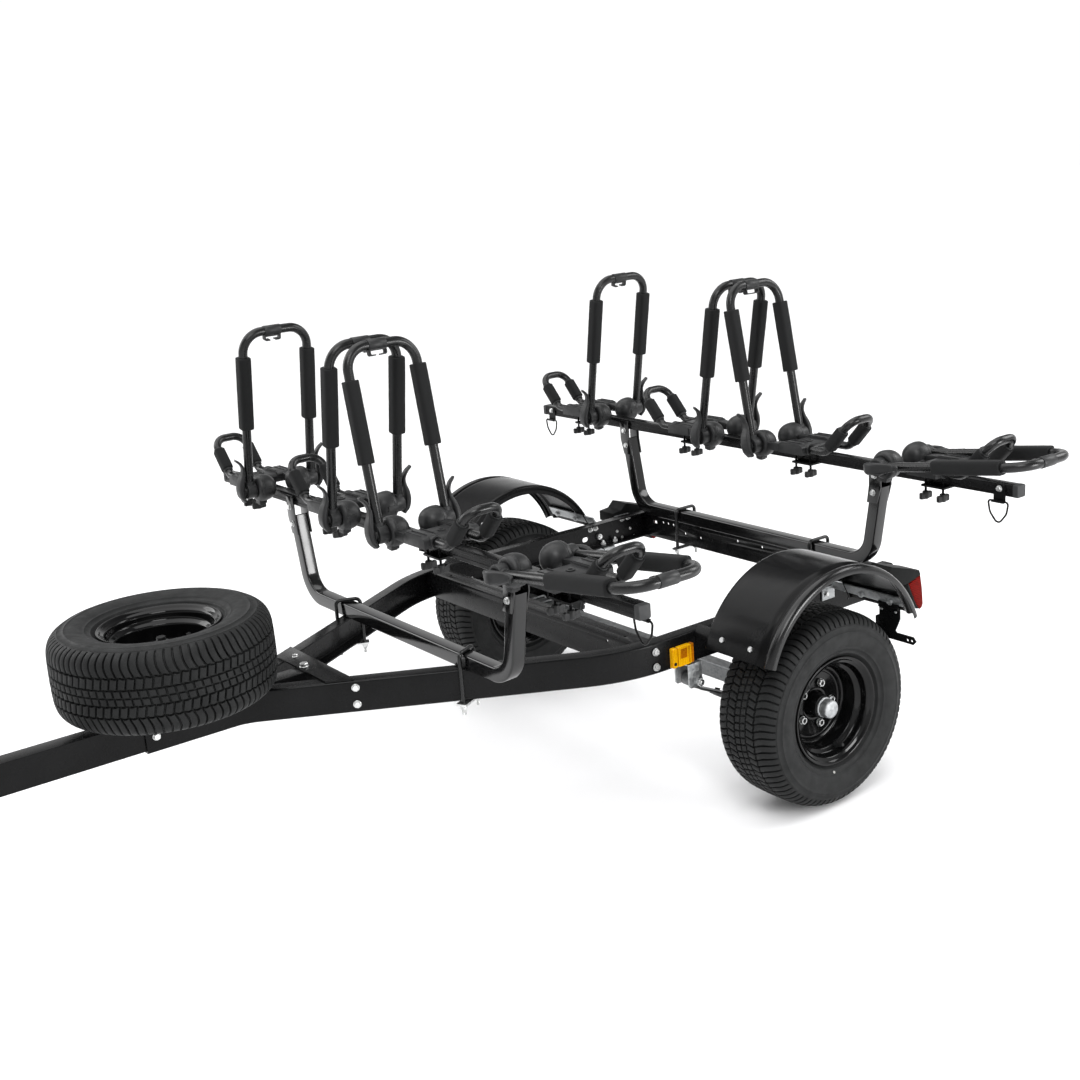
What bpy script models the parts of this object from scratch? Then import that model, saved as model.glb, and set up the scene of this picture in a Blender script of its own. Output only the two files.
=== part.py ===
"""Two-wheel kayak trailer: bolted channel frame, leaf-sprung axle, two riser bars,
two load bars and four pairs of folding hoop carriers.

Metres, +Z up. +X points to the coupler, +Y to the trailer's left side.
Every object hangs on one empty, trailer_frame, whose own origin is on the ground
under the middle of the axle. That empty is shifted so that the world origin lies
under the middle of the whole trailer's outline.
"""

import math

import bmesh
import bpy
from mathutils import Vector

for old in list(bpy.data.objects):
    bpy.data.objects.remove(old, do_unlink=True)

# ---------------------------------------------------------------- dimensions
INCH = 0.0254
GAP = 0.0003  # between pieces that touch

ORIGIN_SHIFT = (-1.2597, -0.0486, 0.0)  # world position of the point under the axle

# tyres and wheels, 20.5 x 8.0-10
WHEEL_SIDES = 18
TYRE_R = 0.2634
TYRE_HALF_W = 0.1025
RIM_BEAD_R = 0.1265
RIM_FLANGE_R = 0.144
RIM_HALF_W = 0.085
DISC_Y = (0.0020, 0.0070)  # wheel disc, outward of the tyre's middle
CENTRE_BORE_R = 0.035
WHEEL_Y = 0.673
WHEEL_Z = TYRE_R * math.cos(math.pi / WHEEL_SIDES)
SPARE_AT = (1.447, 0.0, 0.618)

# frame
RAIL_TOP = 0.4900
RAIL_BOTTOM = 0.4075
RAIL_T = 0.0040
RAIL_FLANGE = 0.0375
RAIL_CORNERS = ((1.530, 0.030), (1.2837, 0.030), (0.466, 0.5185), (-0.500, 0.5185))
RAIL_RADII = (0.0, 0.14, 0.42, 0.0)
TONGUE_W = 2 * INCH
TONGUE_H = 3 * INCH
TONGUE_X = (1.045, 2.985)
TONGUE_TOP = RAIL_TOP
FRONT_CROSS_X = 0.424
FRONT_CROSS_FLANGE = 0.057
REAR_CROSS_X = -0.443
REAR_CROSS_FLANGE = 0.030

# load bars and risers
BAR_FRONT_X = 0.802
BAR_REAR_X = -0.430
BAR_LEN = 78 * INCH
BAR_W = 1.25 * INCH
BAR_Z = 0.786
RISER_W = 1.5 * INCH
RISER_T = 0.0025
RISER_TILT = math.radians(10.5)
RISER_AT_Y = 0.530  # half spacing of the riser legs at RISER_AT_Z
RISER_AT_Z = 0.700
RISER_BEND_R = 0.060
RISER_END_Z = 0.736

# running gear
AXLE_W = 1.75 * INCH
AXLE_Z = 0.262
SPRING_Y = 0.500
SPRING_W = 0.045
SPRING_SEAT = 0.036
SPRING_EYE = (0.256, 0.353)
FENDER_R = 0.287
FENDER_AT = (0.0, 0.361)
FENDER_Y = (0.568, 0.799)
FENDER_ENDS = (20.0, 160.0)

# carriers
PIVOT_Z = 0.815
ARM_X = 0.098  # half spacing of a hoop's tubes
ARM_TUBE_R = 0.0111
ARM_TOP = 0.4575
ARM_CORNER_R = 0.068
ARM_LEAN = math.radians(10.4)
ARM_FOLDED = math.radians(90.0 - 7.5)
PAD_R = 0.022
PAD_SPAN = (0.188, 0.394)
CRADLE_X = 0.0475
CRADLE_TUBE_R = 0.010
# name, bar, pivot Y, side its cradle is on, folded at rest
CARRIERS = (
    ("front_1", BAR_FRONT_X, -0.627, -1, False),
    ("front_2", BAR_FRONT_X, -0.136, -1, False),
    ("front_3", BAR_FRONT_X, 0.107, 1, False),
    ("front_4", BAR_FRONT_X, 0.620, 1, True),
    ("rear_1", BAR_REAR_X, -0.6155, -1, False),
    ("rear_2", BAR_REAR_X, -0.073, -1, False),
    ("rear_3", BAR_REAR_X, 0.147, 1, False),
    ("rear_4", BAR_REAR_X, 0.6135, 1, True),
)

# jack and coupler
JACK_X = 2.350
JACK_Y = 0.080
JACK_PIVOT_Z = 0.452
JACK_WHEEL_R = 0.080
JACK_SIDES = 12
COUPLER_X = 3.060  # ball centre


# ---------------------------------------------------------------- materials
def material(name, colour, roughness, metallic):
    m = bpy.data.materials.new(name)
    m.use_nodes = True
    shader = m.node_tree.nodes["Principled BSDF"]
    shader.inputs["Base Color"].default_value = (*colour, 1.0)
    shader.inputs["Roughness"].default_value = roughness
    shader.inputs["Metallic"].default_value = metallic
    return m


BLACK_PAINT = material("black_powder_coat", (0.020, 0.021, 0.022), 0.42, 0.0)
BLACK_SATIN = material("black_satin_steel", (0.015, 0.015, 0.016), 0.35, 0.0)
GALVANISED = material("galvanised_steel", (0.42, 0.43, 0.44), 0.45, 0.9)
ZINC = material("zinc_plated_steel", (0.62, 0.63, 0.64), 0.30, 1.0)
RUBBER = material("tyre_rubber", (0.030, 0.030, 0.031), 0.80, 0.0)
RIM_PAINT = material("gloss_black_wheel", (0.012, 0.012, 0.013), 0.22, 0.0)
PLASTIC = material("black_moulded_plastic", (0.028, 0.029, 0.030), 0.50, 0.0)
HOOP_PAINT = material("black_hoop_tube", (0.016, 0.016, 0.017), 0.28, 0.0)
LAMP = material("tail_lamp_black_red", (0.16, 0.012, 0.012), 0.25, 0.0)


# ---------------------------------------------------------------- mesh tools
def finish(bm):
    bmesh.ops.remove_doubles(bm, verts=bm.verts[:], dist=0.000002)
    bmesh.ops.recalc_face_normals(bm, faces=bm.faces[:])
    me = bpy.data.meshes.new("shape")
    bm.to_mesh(me)
    bm.free()
    return me


def bridge(bm, a, b):
    for i in range(len(a)):
        j = (i + 1) % len(a)
        bm.faces.new((a[i], a[j], b[j], b[i]))


def prism(outline, to3d, low, high):
    """The closed outline, given as (u, v) points, run from low to high."""
    bm = bmesh.new()
    ends = [
        [bm.verts.new(to3d(u, v, w)) for u, v in outline] for w in (low, high)
    ]
    bm.faces.new(ends[0])
    bm.faces.new(ends[1])
    bridge(bm, ends[0], ends[1])
    return finish(bm)


ALONG_X = lambda u, v, w: (w, u, v)  # outline in Y, Z
ALONG_Y = lambda u, v, w: (u, w, v)  # outline in X, Z
ALONG_Z = lambda u, v, w: (u, v, w)  # outline in X, Y


def box(x0, x1, y0, y1, z0, z1):
    return prism(((x0, y0), (x1, y0), (x1, y1), (x0, y1)), ALONG_Z, z0, z1)


def circle(cu, cv, r, sides, phase=0.5):
    step = 2 * math.pi / sides
    return [
        (cu + r * math.cos((k + phase) * step), cv + r * math.sin((k + phase) * step))
        for k in range(sides)
    ]


def turned(profile, sides, place):
    """A closed profile of (radius, height) turned about its axis. Radius 0 is a pole,
    and nothing is made along the axis between two poles."""
    bm = bmesh.new()
    step = 2 * math.pi / sides
    rings = []
    for r, h in profile:
        spots = range(1 if r == 0 else sides)
        rings.append(
            [
                bm.verts.new(
                    place(r * math.cos((k + 0.5) * step), r * math.sin((k + 0.5) * step), h)
                )
                for k in spots
            ]
        )
    for a, b in zip(rings, rings[1:] + rings[:1]):
        if len(a) == len(b) == 1:
            continue
        for k in range(sides):
            j = (k + 1) % sides
            corners = []
            for v in (a[k % len(a)], a[j % len(a)], b[j % len(b)], b[k % len(b)]):
                if v not in corners:
                    corners.append(v)
            bm.faces.new(corners)
    return finish(bm)


AXIS_X = lambda a, b, h: (h, a, b)
AXIS_Y = lambda a, b, h: (b, h, a)
AXIS_Z = lambda a, b, h: (a, b, h)


def swept(path, sides, outer, inner=None, sizes=None):
    """Rings of the outline (a, b) set at each path point along its own two
    directions, scaled by sizes. With an inner outline the result is an open tube."""
    bm = bmesh.new()

    def rings(outline):
        out = []
        for p, (side, up), k in zip(path, sides, sizes or [1.0] * len(path)):
            p, side, up = Vector(p), Vector(side) * k, Vector(up) * k
            out.append([bm.verts.new(p + side * a + up * b) for a, b in outline])
        return out

    skin = rings(outer)
    for a, b in zip(skin, skin[1:]):
        bridge(bm, a, b)
    if inner is None:
        bm.faces.new(skin[0])
        bm.faces.new(skin[-1])
    else:
        bore = rings(inner)
        for a, b in zip(bore, bore[1:]):
            bridge(bm, a, b)
        bridge(bm, skin[0], bore[0])
        bridge(bm, skin[-1], bore[-1])
    return finish(bm)


def rounded(points, radii, steps):
    """A 2-D line through the points with its corners rounded to the radii.
    Gives the points and the left-hand normal at each."""
    out = []
    for i, (p, r, n) in enumerate(zip(points, radii, steps)):
        p = Vector(p)
        before = (p - Vector(points[i - 1])).normalized() if i else None
        after = (
            (Vector(points[i + 1]) - p).normalized() if i + 1 < len(points) else None
        )
        if before is None or after is None or r == 0:
            t = before or after
            if before is not None and after is not None:
                t = (before + after).normalized()
            out.append((p, Vector((-t.y, t.x))))
            continue
        turn = before.angle_signed(after)
        # angle_signed is positive clockwise
        sign = -1.0 if turn > 0 else 1.0
        reach = r * math.tan(abs(turn) / 2)
        start = p - before * reach
        left = Vector((-before.y, before.x))
        centre = start + left * (sign * r)
        for k in range(n + 1):
            a = sign * abs(turn) * k / n
            c, s = math.cos(a), math.sin(a)
            spoke = start - centre
            spot = centre + Vector((c * spoke.x - s * spoke.y, s * spoke.x + c * spoke.y))
            normal = Vector((c * left.x - s * left.y, s * left.x + c * left.y))
            out.append((spot, normal))
    return out


def tube_along(points, radii, steps, to3d, binormal, r, n):
    """A round bar along a rounded line that lies in one plane."""
    line = rounded(points, radii, steps)
    path = [to3d(p) for p, _ in line]
    sides = [(to3d(v, True), binormal) for _, v in line]
    return swept(path, sides, circle(0, 0, r, n))


def boolean(base, tool, operation):
    work = bpy.data.objects.new("work", base)
    other = bpy.data.objects.new("tool", tool)
    for o in (work, other):
        bpy.context.scene.collection.objects.link(o)
    m = work.modifiers.new("boolean", "BOOLEAN")
    m.operation = operation
    m.solver = "EXACT"
    m.object = other
    graph = bpy.context.evaluated_depsgraph_get()
    graph.update()
    out = bpy.data.meshes.new_from_object(work.evaluated_get(graph))
    for o in (work, other):
        bpy.data.objects.remove(o, do_unlink=True)
    for me in (base, tool):
        bpy.data.meshes.remove(me)
    return out


def joined(*shapes):
    out = shapes[0]
    for s in shapes[1:]:
        out = boolean(out, s, "UNION")
    return out


def cut(shape, *tools):
    for t in tools:
        shape = boolean(shape, t, "DIFFERENCE")
    return shape


def flipped(shape, axis):
    """A mirrored copy of the mesh."""
    bm = bmesh.new()
    bm.from_mesh(shape)
    for v in bm.verts:
        v.co[axis] = -v.co[axis]
    return finish(bm)


def copied(shape):
    bm = bmesh.new()
    bm.from_mesh(shape)
    return finish(bm)


FRAME = bpy.data.objects.new("trailer_frame", None)
FRAME.location = ORIGIN_SHIFT
bpy.context.scene.collection.objects.link(FRAME)


def place(name, shape, paint, at=(0, 0, 0), turn=(0, 0, 0), smooth=30.0, parent=None):
    if not shape.materials:
        shape.materials.append(paint)
    if smooth:
        shape.shade_smooth()
        shape.set_sharp_from_angle(angle=math.radians(smooth))
    o = bpy.data.objects.new(name, shape)
    o.location = at
    o.rotation_euler = turn
    o.parent = parent or FRAME
    bpy.context.scene.collection.objects.link(o)
    return o


def hexagon(cu, cv, r):
    return circle(cu, cv, r, 6, 0.0)


# ---------------------------------------------------------------- frame rails
def rail():
    """The left rail: a channel that opens towards the middle of the trailer."""
    line = rounded(RAIL_CORNERS, RAIL_RADII, (0, 4, 6, 0))
    path, sides = [], []
    for p, n in line:
        inward = n if n.y < 0 else -n
        path.append((p.x, p.y, 0.0))
        sides.append(((inward.x, inward.y, 0.0), (0, 0, 1)))
    t, w, z0, z1 = RAIL_T, RAIL_FLANGE, RAIL_BOTTOM, RAIL_TOP
    outline = (
        (0, z0), (w, z0), (w, z0 + t), (t, z0 + t),
        (t, z1 - t), (w, z1 - t), (w, z1), (0, z1),
    )
    shape = swept(path, sides, outline)
    # the top flange is notched round the tongue and the lower flanges meet at the middle
    notch = TONGUE_W / 2 + 0.0004
    shape = cut(
        shape,
        box(1.0, 1.7, -0.1, notch, z0 + t + 0.0001, z1 + 0.05),
        box(1.0, 1.7, -0.1, GAP, z0 - 0.05, z0 + t + 0.0010),
    )
    # slot for the lamp leads near the rear, and the bolt holes at the nose
    return cut(
        shape,
        box(-0.212, -0.188, 0.50, 0.53, 0.431, 0.447),
        prism(circle(1.052, 0.469, 0.0045, 8), ALONG_Y, 0.10, 0.20),
        prism(circle(1.052, 0.429, 0.0045, 8), ALONG_Y, 0.10, 0.20),
    )


left = rail()
right = flipped(left, 1)
place("frame_rail_left", left, BLACK_PAINT)
place("frame_rail_right", right, BLACK_PAINT)


# ---------------------------------------------------------------- crossmembers
def channel(x_web, flange, z0, z1, half, t=0.004):
    """A channel across the trailer: web at x_web, flanges running rearward."""
    x1 = x_web - flange
    outline = (
        (x_web, z0), (x_web, z1), (x1, z1), (x1, z1 - t),
        (x_web - t, z1 - t), (x_web - t, z0 + t), (x1, z0 + t), (x1, z0),
    )
    return prism(outline, ALONG_Y, -half, half)


def rail_inner_y(x):
    """Half spacing of the rails' webs, on the inside, at x in the rear bend."""
    corner, start, r = RAIL_CORNERS[2], None, RAIL_RADII[2]
    d = Vector(RAIL_CORNERS[1]) - Vector(corner)
    turn = math.atan2(abs(d.y), abs(d.x))
    start = corner[0] - r * math.tan(turn / 2)
    if x <= start:
        return corner[1] - RAIL_T
    return corner[1] - r + math.sqrt((r - RAIL_T) ** 2 - (x - start) ** 2)


inside = (RAIL_BOTTOM + RAIL_T + GAP, RAIL_TOP - RAIL_T - GAP)
front_half = rail_inner_y(FRONT_CROSS_X) - 0.0006
front_cross = channel(
    FRONT_CROSS_X, FRONT_CROSS_FLANGE, inside[0], inside[1], front_half
)
front_cross = cut(
    front_cross,
    *[
        prism(circle(x, y, 0.0045, 6), ALONG_Z, 0.47, 0.50)
        for x, y in ((0.400, -0.395), (0.396, 0.411))
    ],
    *[
        prism(circle(y, 0.472, 0.004, 6), ALONG_X, 0.41, 0.43)
        for y in (-0.371, 0.371)
    ],
)
place("front_crossmember", front_cross, BLACK_PAINT)

rear_half = RAIL_CORNERS[3][1] - RAIL_FLANGE - GAP
rear_cross = channel(REAR_CROSS_X, REAR_CROSS_FLANGE, RAIL_BOTTOM, RAIL_TOP, rear_half)
tab_y = RAIL_CORNERS[3][1] - RAIL_T - GAP
rear_cross = joined(
    rear_cross,
    *[
        box(
            REAR_CROSS_X - 0.004,
            REAR_CROSS_X - 0.0001,
            min(s * (rear_half - 0.01), s * tab_y),
            max(s * (rear_half - 0.01), s * tab_y),
            inside[0],
            inside[1],
        )
        for s in (-1, 1)
    ],
)
rear_cross = cut(
    rear_cross,
    box(-0.46, -0.43, -0.456, -0.436, 0.454, 0.464),
    *[
        prism(circle(y, z, 0.0045, 6), ALONG_X, -0.46, -0.43)
        for y, z in (
            (-0.405, 0.464), (-0.380, 0.464), (-0.355, 0.464),
            (-0.224, 0.480), (-0.224, 0.443), (0.224, 0.480), (0.224, 0.443),
        )
    ],
)
place("rear_crossmember", rear_cross, BLACK_PAINT)

# gusset strip over the nose of the frame
g_top = RAIL_TOP + GAP


def rail_outer_y(x):
    a, b = RAIL_CORNERS[1], RAIL_CORNERS[2]
    return a[1] + (b[1] - a[1]) * (x - a[0]) / (b[0] - a[0])


gx0, gx1 = 1.047, 1.108
gusset = prism(
    (
        (gx0, -rail_outer_y(gx0) + 0.003), (gx1, -rail_outer_y(gx1) + 0.003),
        (gx1, rail_outer_y(gx1) - 0.003), (gx0, rail_outer_y(gx0) - 0.003),
    ),
    ALONG_Z, g_top, g_top + 0.005,
)
place("tongue_gusset", gusset, BLACK_PAINT)


# ---------------------------------------------------------------- tongue
def rectangle(hu, hv, cu=0.0, cv=0.0):
    return [(cu - hu, cv - hv), (cu + hu, cv - hv), (cu + hu, cv + hv), (cu - hu, cv + hv)]


tongue_z = TONGUE_TOP - TONGUE_H / 2
straight = lambda x0, x1, z: (
    [(x0, 0, z), (x1, 0, z)],
    [((0, 1, 0), (0, 0, 1))] * 2,
)
tongue = swept(
    *straight(*TONGUE_X, tongue_z),
    rectangle(TONGUE_W / 2, TONGUE_H / 2),
    rectangle(TONGUE_W / 2 - 0.003, TONGUE_H / 2 - 0.003),
)
# plate welded to the tongue's left side, which the jack turns on
side_y = TONGUE_W / 2
tongue = joined(
    tongue,
    box(JACK_X - 0.045, JACK_X + 0.045, side_y - 0.001, side_y + 0.006, 0.420, 0.484),
    prism(circle(JACK_X, JACK_PIVOT_Z, 0.010, 12), ALONG_Y, side_y + 0.002, side_y + 0.0165),
)
place("tongue_tube", tongue, BLACK_PAINT)


# ---------------------------------------------------------------- coupler
def coupler():
    half, top = TONGUE_W / 2 + GAP, TONGUE_TOP + GAP
    t = 0.004
    low = top - 0.052
    # folded plate over the end of the tongue
    saddle = prism(
        (
            (-half - t, low), (-half, low), (-half, top), (half, top),
            (half, low), (half + t, low), (half + t, top + t), (-half - t, top + t),
        ),
        ALONG_X, 2.870, COUPLER_X,
    )
    # ball socket, open below
    socket = turned(
        (
            (0.0405, low - 0.006), (0.0405, top - 0.020), (0.034, top + t + 0.002),
            (0, top + t + 0.010), (0, top + 0.003), (0.020, top - 0.003),
            (0.0265, top - 0.022), (0.0265, low - 0.006),
        ),
        16,
        lambda a, b, h: (COUPLER_X + a, b, h),
    )
    return saddle, socket


def coupler_shape():
    saddle, socket = coupler()
    shape = joined(saddle, socket)
    # the socket stays open through the folded plate
    top = TONGUE_TOP + GAP
    bore = prism(
        circle(COUPLER_X, 0.0, 0.0262, 16), ALONG_Z, top - 0.10, top - 0.0225
    )
    shape = cut(shape, bore)
    # latch ears
    return joined(
        shape,
        box(2.965, 2.995, -0.0165, -0.0125, top + 0.003, top + 0.030),
        box(2.965, 2.995, 0.0125, 0.0165, top + 0.003, top + 0.030),
    )


place("coupler_housing", coupler_shape(), ZINC)

LATCH_AT = (2.980, 0.0, TONGUE_TOP + GAP + 0.022)
latch_line = rounded(
    ((0.012, -0.003), (0.0, 0.002), (-0.050, 0.004), (-0.115, 0.022)),
    (0.0, 0.02, 0.05, 0.0),
    (0, 2, 2, 0),
)
latch = swept(
    [(p.x, 0.0, p.y) for p, _ in latch_line],
    [((n.x, 0.0, n.y), (0, 1, 0)) for _, n in latch_line],
    rectangle(0.003, 0.0115),
)
latch = joined(latch, prism(circle(0.0, 0.0, 0.006, 10), ALONG_Y, -0.0120, 0.0120))
place("coupler_latch", latch, ZINC, LATCH_AT)


# ---------------------------------------------------------------- jack
PIN_Y = side_y + 0.006 + GAP  # the turning flange starts here


def jack_tube():
    outer_r, bore_r = 0.025, 0.0222
    z0, z1 = 0.300 - JACK_PIVOT_Z, 0.640 - JACK_PIVOT_Z
    tube = turned(
        ((outer_r, z0), (outer_r, z1), (bore_r, z1), (bore_r, z0)),
        16,
        lambda a, b, h: (a, b + JACK_Y, h),
    )
    flange = prism(rectangle(0.036, 0.030), ALONG_Y, PIN_Y, PIN_Y + 0.006)
    neck = box(-0.016, 0.016, PIN_Y + 0.004, JACK_Y - 0.0225, -0.026, 0.026)
    shape = joined(flange, neck, tube)
    # bore of the turning flange, and the thread of the clamp screw
    return cut(
        shape,
        prism(circle(0, 0, 0.0112, 12), ALONG_Y, 0.0, side_y + 0.0170),
        prism(circle(JACK_Y, 0.100, 0.0062, 8), ALONG_X, 0.018, 0.040),
    )


JACK = bpy.data.objects.new("jack_swivel_axis", None)
JACK.location = (JACK_X, 0.0, JACK_PIVOT_Z)
JACK.parent = FRAME
bpy.context.scene.collection.objects.link(JACK)
place("jack_outer_tube", jack_tube(), ZINC, parent=JACK)

leg_r = 0.0205
leg_top = 0.560 - JACK_PIVOT_Z
leg_low = 0.178 - JACK_PIVOT_Z
wheel_z = JACK_WHEEL_R * math.cos(math.pi / JACK_SIDES) - JACK_PIVOT_Z
leg = prism(circle(0.0, JACK_Y, leg_r, 16), ALONG_Z, leg_low, leg_top)
fork_y = 0.0225
leg = joined(
    leg,
    box(-0.022, 0.022, JACK_Y - fork_y - 0.004, JACK_Y + fork_y + 0.004, leg_low - 0.004, leg_low + 0.003),
    box(-0.018, 0.018, JACK_Y - fork_y - 0.004, JACK_Y - fork_y, wheel_z - 0.018, leg_low - 0.001),
    box(-0.018, 0.018, JACK_Y + fork_y, JACK_Y + fork_y + 0.004, wheel_z - 0.018, leg_low - 0.001),
    prism(circle(0.0, wheel_z, 0.0060, 8), ALONG_Y, JACK_Y - fork_y - 0.007, JACK_Y + fork_y + 0.007),
)
place("jack_inner_leg", leg, ZINC, parent=JACK)

jack_wheel = turned(
    (
        (0.0072, -0.020), (0.020, -0.020), (0.030, -0.013), (JACK_WHEEL_R, -0.014),
        (JACK_WHEEL_R, 0.014), (0.030, 0.013), (0.020, 0.020), (0.0072, 0.020),
    ),
    JACK_SIDES,
    AXIS_Y,
)
place("jack_wheel", jack_wheel, RUBBER, (0.0, JACK_Y, wheel_z), parent=JACK)

# clamp screw with a cross bar, turning about its own length
handle = joined(
    prism(circle(0.0, 0.0, 0.0052, 8), ALONG_X, 0.0213, 0.060),
    prism(circle(0.0, 0.0, 0.0100, 8), ALONG_X, 0.0500, 0.064),
    box(0.053, 0.062, -0.040, 0.040, -0.0045, 0.0045),
)
place("jack_clamp_handle", handle, ZINC, (0.0, JACK_Y, 0.100), parent=JACK)


# ---------------------------------------------------------------- wheels
def tyre():
    w = TYRE_HALF_W
    half = (
        (TYRE_R, 0.072), (0.2490, 0.0925), (0.2050, w),
        (RIM_FLANGE_R + 0.0016, 0.0764), (RIM_BEAD_R + 0.0016, 0.0750),
        (RIM_BEAD_R + 0.0016, 0.0600), (0.2050, 0.0900), (0.2400, 0.0760),
    )
    return turned(half + tuple((r, -y) for r, y in reversed(half)), WHEEL_SIDES, AXIS_Y)


def rim():
    """Deep-dish wheel: +Y is the outer side."""
    f, b, w = RIM_FLANGE_R, RIM_BEAD_R, RIM_HALF_W
    lo, hi = DISC_Y
    profile = (
        (f, -w), (f, -0.0785), (b, -0.0770), (b, 0.0770), (f, 0.0785), (f, w),
        (b - 0.004, 0.0790), (b - 0.004, hi), (CENTRE_BORE_R, hi),
        (CENTRE_BORE_R, lo), (b - 0.004, lo), (b - 0.004, -0.0790),
    )
    return turned(profile, WHEEL_SIDES, AXIS_Y)


def hub():
    """Flanged hub with its bore open inboard and the dust cap outboard."""
    profile = (
        (0.0172, -0.062), (0.0345, -0.062), (0.0350, -0.0085), (0.0700, -0.0065),
        (0.0700, DISC_Y[0] - GAP), (0.0330, DISC_Y[0] - GAP), (0.0250, 0.042),
        (0.0250, 0.063), (0, 0.071), (0, 0.046), (0.0172, 0.046),
    )
    return turned(profile, 12, AXIS_Y)


TYRE, RIM, HUB = tyre(), rim(), hub()
for side, sign in (("left", 1), ("right", -1)):
    at = (0.0, sign * WHEEL_Y, WHEEL_Z)
    turn = (0, 0, 0 if sign > 0 else math.pi)
    place(f"tyre_{side}", TYRE, RUBBER, at, turn)
    place(f"rim_{side}", RIM, RIM_PAINT, at, turn)
    place(f"hub_{side}", HUB, GALVANISED, at, turn)
# the spare lies flat with its outer side up
place("spare_tyre", TYRE, RUBBER, SPARE_AT, (math.pi / 2, 0, 0))
place("spare_rim", RIM, RIM_PAINT, SPARE_AT, (math.pi / 2, 0, 0))

# post on the tongue that clamps the spare wheel by its centre
plate_z = RAIL_TOP + GAP
disc_low = SPARE_AT[2] + DISC_Y[0] - GAP
disc_high = SPARE_AT[2] + DISC_Y[1] + GAP
sx = SPARE_AT[0]
carrier = joined(
    box(sx - 0.050, sx + 0.050, -0.040, 0.040, plate_z, plate_z + 0.006),
    prism(circle(sx, 0, 0.0240, 10), ALONG_Z, plate_z + 0.003, disc_low - 0.003),
    prism(circle(sx, 0, 0.0700, 12), ALONG_Z, disc_low - 0.006, disc_low),
    prism(circle(sx, 0, 0.0120, 8), ALONG_Z, disc_low - 0.004, disc_high + 0.045),
    prism(circle(sx, 0, 0.0600, 12), ALONG_Z, disc_high, disc_high + 0.006),
    prism(hexagon(sx, 0, 0.0180), ALONG_Z, disc_high + 0.004, disc_high + 0.020),
)
place("spare_carrier", carrier, BLACK_SATIN)


# ---------------------------------------------------------------- axle and springs
def spring_z(x):
    """Height of the main leaf's upper face: flat under the axle, then rising."""
    beyond = max(abs(x) - SPRING_SEAT, 0.0)
    return AXLE_Z - AXLE_W / 2 - GAP + 0.47 * (math.hypot(beyond, 0.012) - 0.012)


axle = prism(rectangle(AXLE_W / 2, AXLE_W / 2, 0.0, AXLE_Z), ALONG_Y, -0.590, 0.590)
pieces = []
for s in (-1, 1):
    ends = sorted((s * 0.580, s * 0.708))
    pieces.append(prism(circle(0.0, WHEEL_Z, 0.0160, 12), ALONG_Y, *ends))
leaf_t = 0.0065
clamp_low = spring_z(0.0) - 3 * leaf_t - GAP - 0.0005
for s in (-1, 1):
    y = s * SPRING_Y
    top = AXLE_Z + AXLE_W / 2
    for dy in (-0.0272, 0.0272):
        outer, inner, low = 0.0340, 0.0260, clamp_low - 0.018
        strap = (
            (-outer, low), (-inner, low), (-inner, top - 0.0005), (inner, top - 0.0005),
            (inner, low), (outer, low), (outer, top + 0.008), (-outer, top + 0.008),
        )
        pieces.append(prism(strap, ALONG_Y, y + dy - 0.004, y + dy + 0.004))
    pieces.append(box(-0.045, 0.045, y - 0.036, y + 0.036, clamp_low - 0.008, clamp_low))
axle = joined(axle, *pieces)
place("axle_beam", axle, GALVANISED)


def leaf_spring():
    """Three leaves as one stack, wide along Y, with an eye at each end."""
    half = (SPRING_SEAT, 0.060, 0.109, 0.111, 0.184, 0.186, 0.225, 0.258)
    xs = [-x for x in reversed(half)] + list(half)

    def under(x):
        layers = 3 if abs(x) < 0.110 else 2 if abs(x) < 0.185 else 1
        return spring_z(x) - layers * leaf_t

    upper = [(x, spring_z(x)) for x in xs]
    lower = []
    for x in reversed(xs):
        lower.append((x, under(x)))
    body = prism(upper + lower, ALONG_Y, -SPRING_W / 2, SPRING_W / 2)
    ex, ez = SPRING_EYE
    for s in (-1, 1):
        body = joined(body, prism(circle(s * ex, ez, 0.0190, 8), ALONG_Y, -SPRING_W / 2, SPRING_W / 2))
        body = cut(body, prism(circle(s * ex, ez, 0.0078, 6), ALONG_Y, -0.05, 0.05))
    return body


SPRING = leaf_spring()
place("leaf_spring_left", SPRING, GALVANISED, (0, SPRING_Y, 0))
place("leaf_spring_right", SPRING, GALVANISED, (0, -SPRING_Y, 0))


def hanger():
    """Short inverted channel under the rail with the eye bolt. Origin on the bolt."""
    ex, ez = SPRING_EYE
    top = RAIL_BOTTOM - GAP - ez
    x0, x1 = 0.245 - ex, 0.290 - ex
    low = -0.0110
    cheek = (
        (x0, low + 0.005), (x0 + 0.005, low), (x1 - 0.006, low), (x1, low + 0.006),
        (x1, top), (x0, top),
    )
    inner, outer = SPRING_W / 2 + 0.0012, SPRING_W / 2 + 0.0052
    shape = box(x0, x1, -outer, outer, top - 0.004, top)
    for s in (-1, 1):
        shape = joined(shape, prism(cheek, ALONG_Y, *sorted((s * inner, s * outer))))
    return joined(
        shape, prism(circle(0, 0, 0.0062, 6), ALONG_Y, -outer - 0.010, outer + 0.008)
    )


HANGER = hanger()
HANGER_REAR = flipped(HANGER, 0)
for side, sign in (("left", 1), ("right", -1)):
    turn = (0, 0, 0)
    shape = HANGER if sign > 0 else flipped(HANGER, 1)
    rear = HANGER_REAR if sign > 0 else flipped(HANGER_REAR, 1)
    place(f"spring_hanger_front_{side}", shape, GALVANISED, (SPRING_EYE[0], sign * SPRING_Y, SPRING_EYE[1]))
    place(f"spring_hanger_rear_{side}", rear, GALVANISED, (-SPRING_EYE[0], sign * SPRING_Y, SPRING_EYE[1]))


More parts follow.
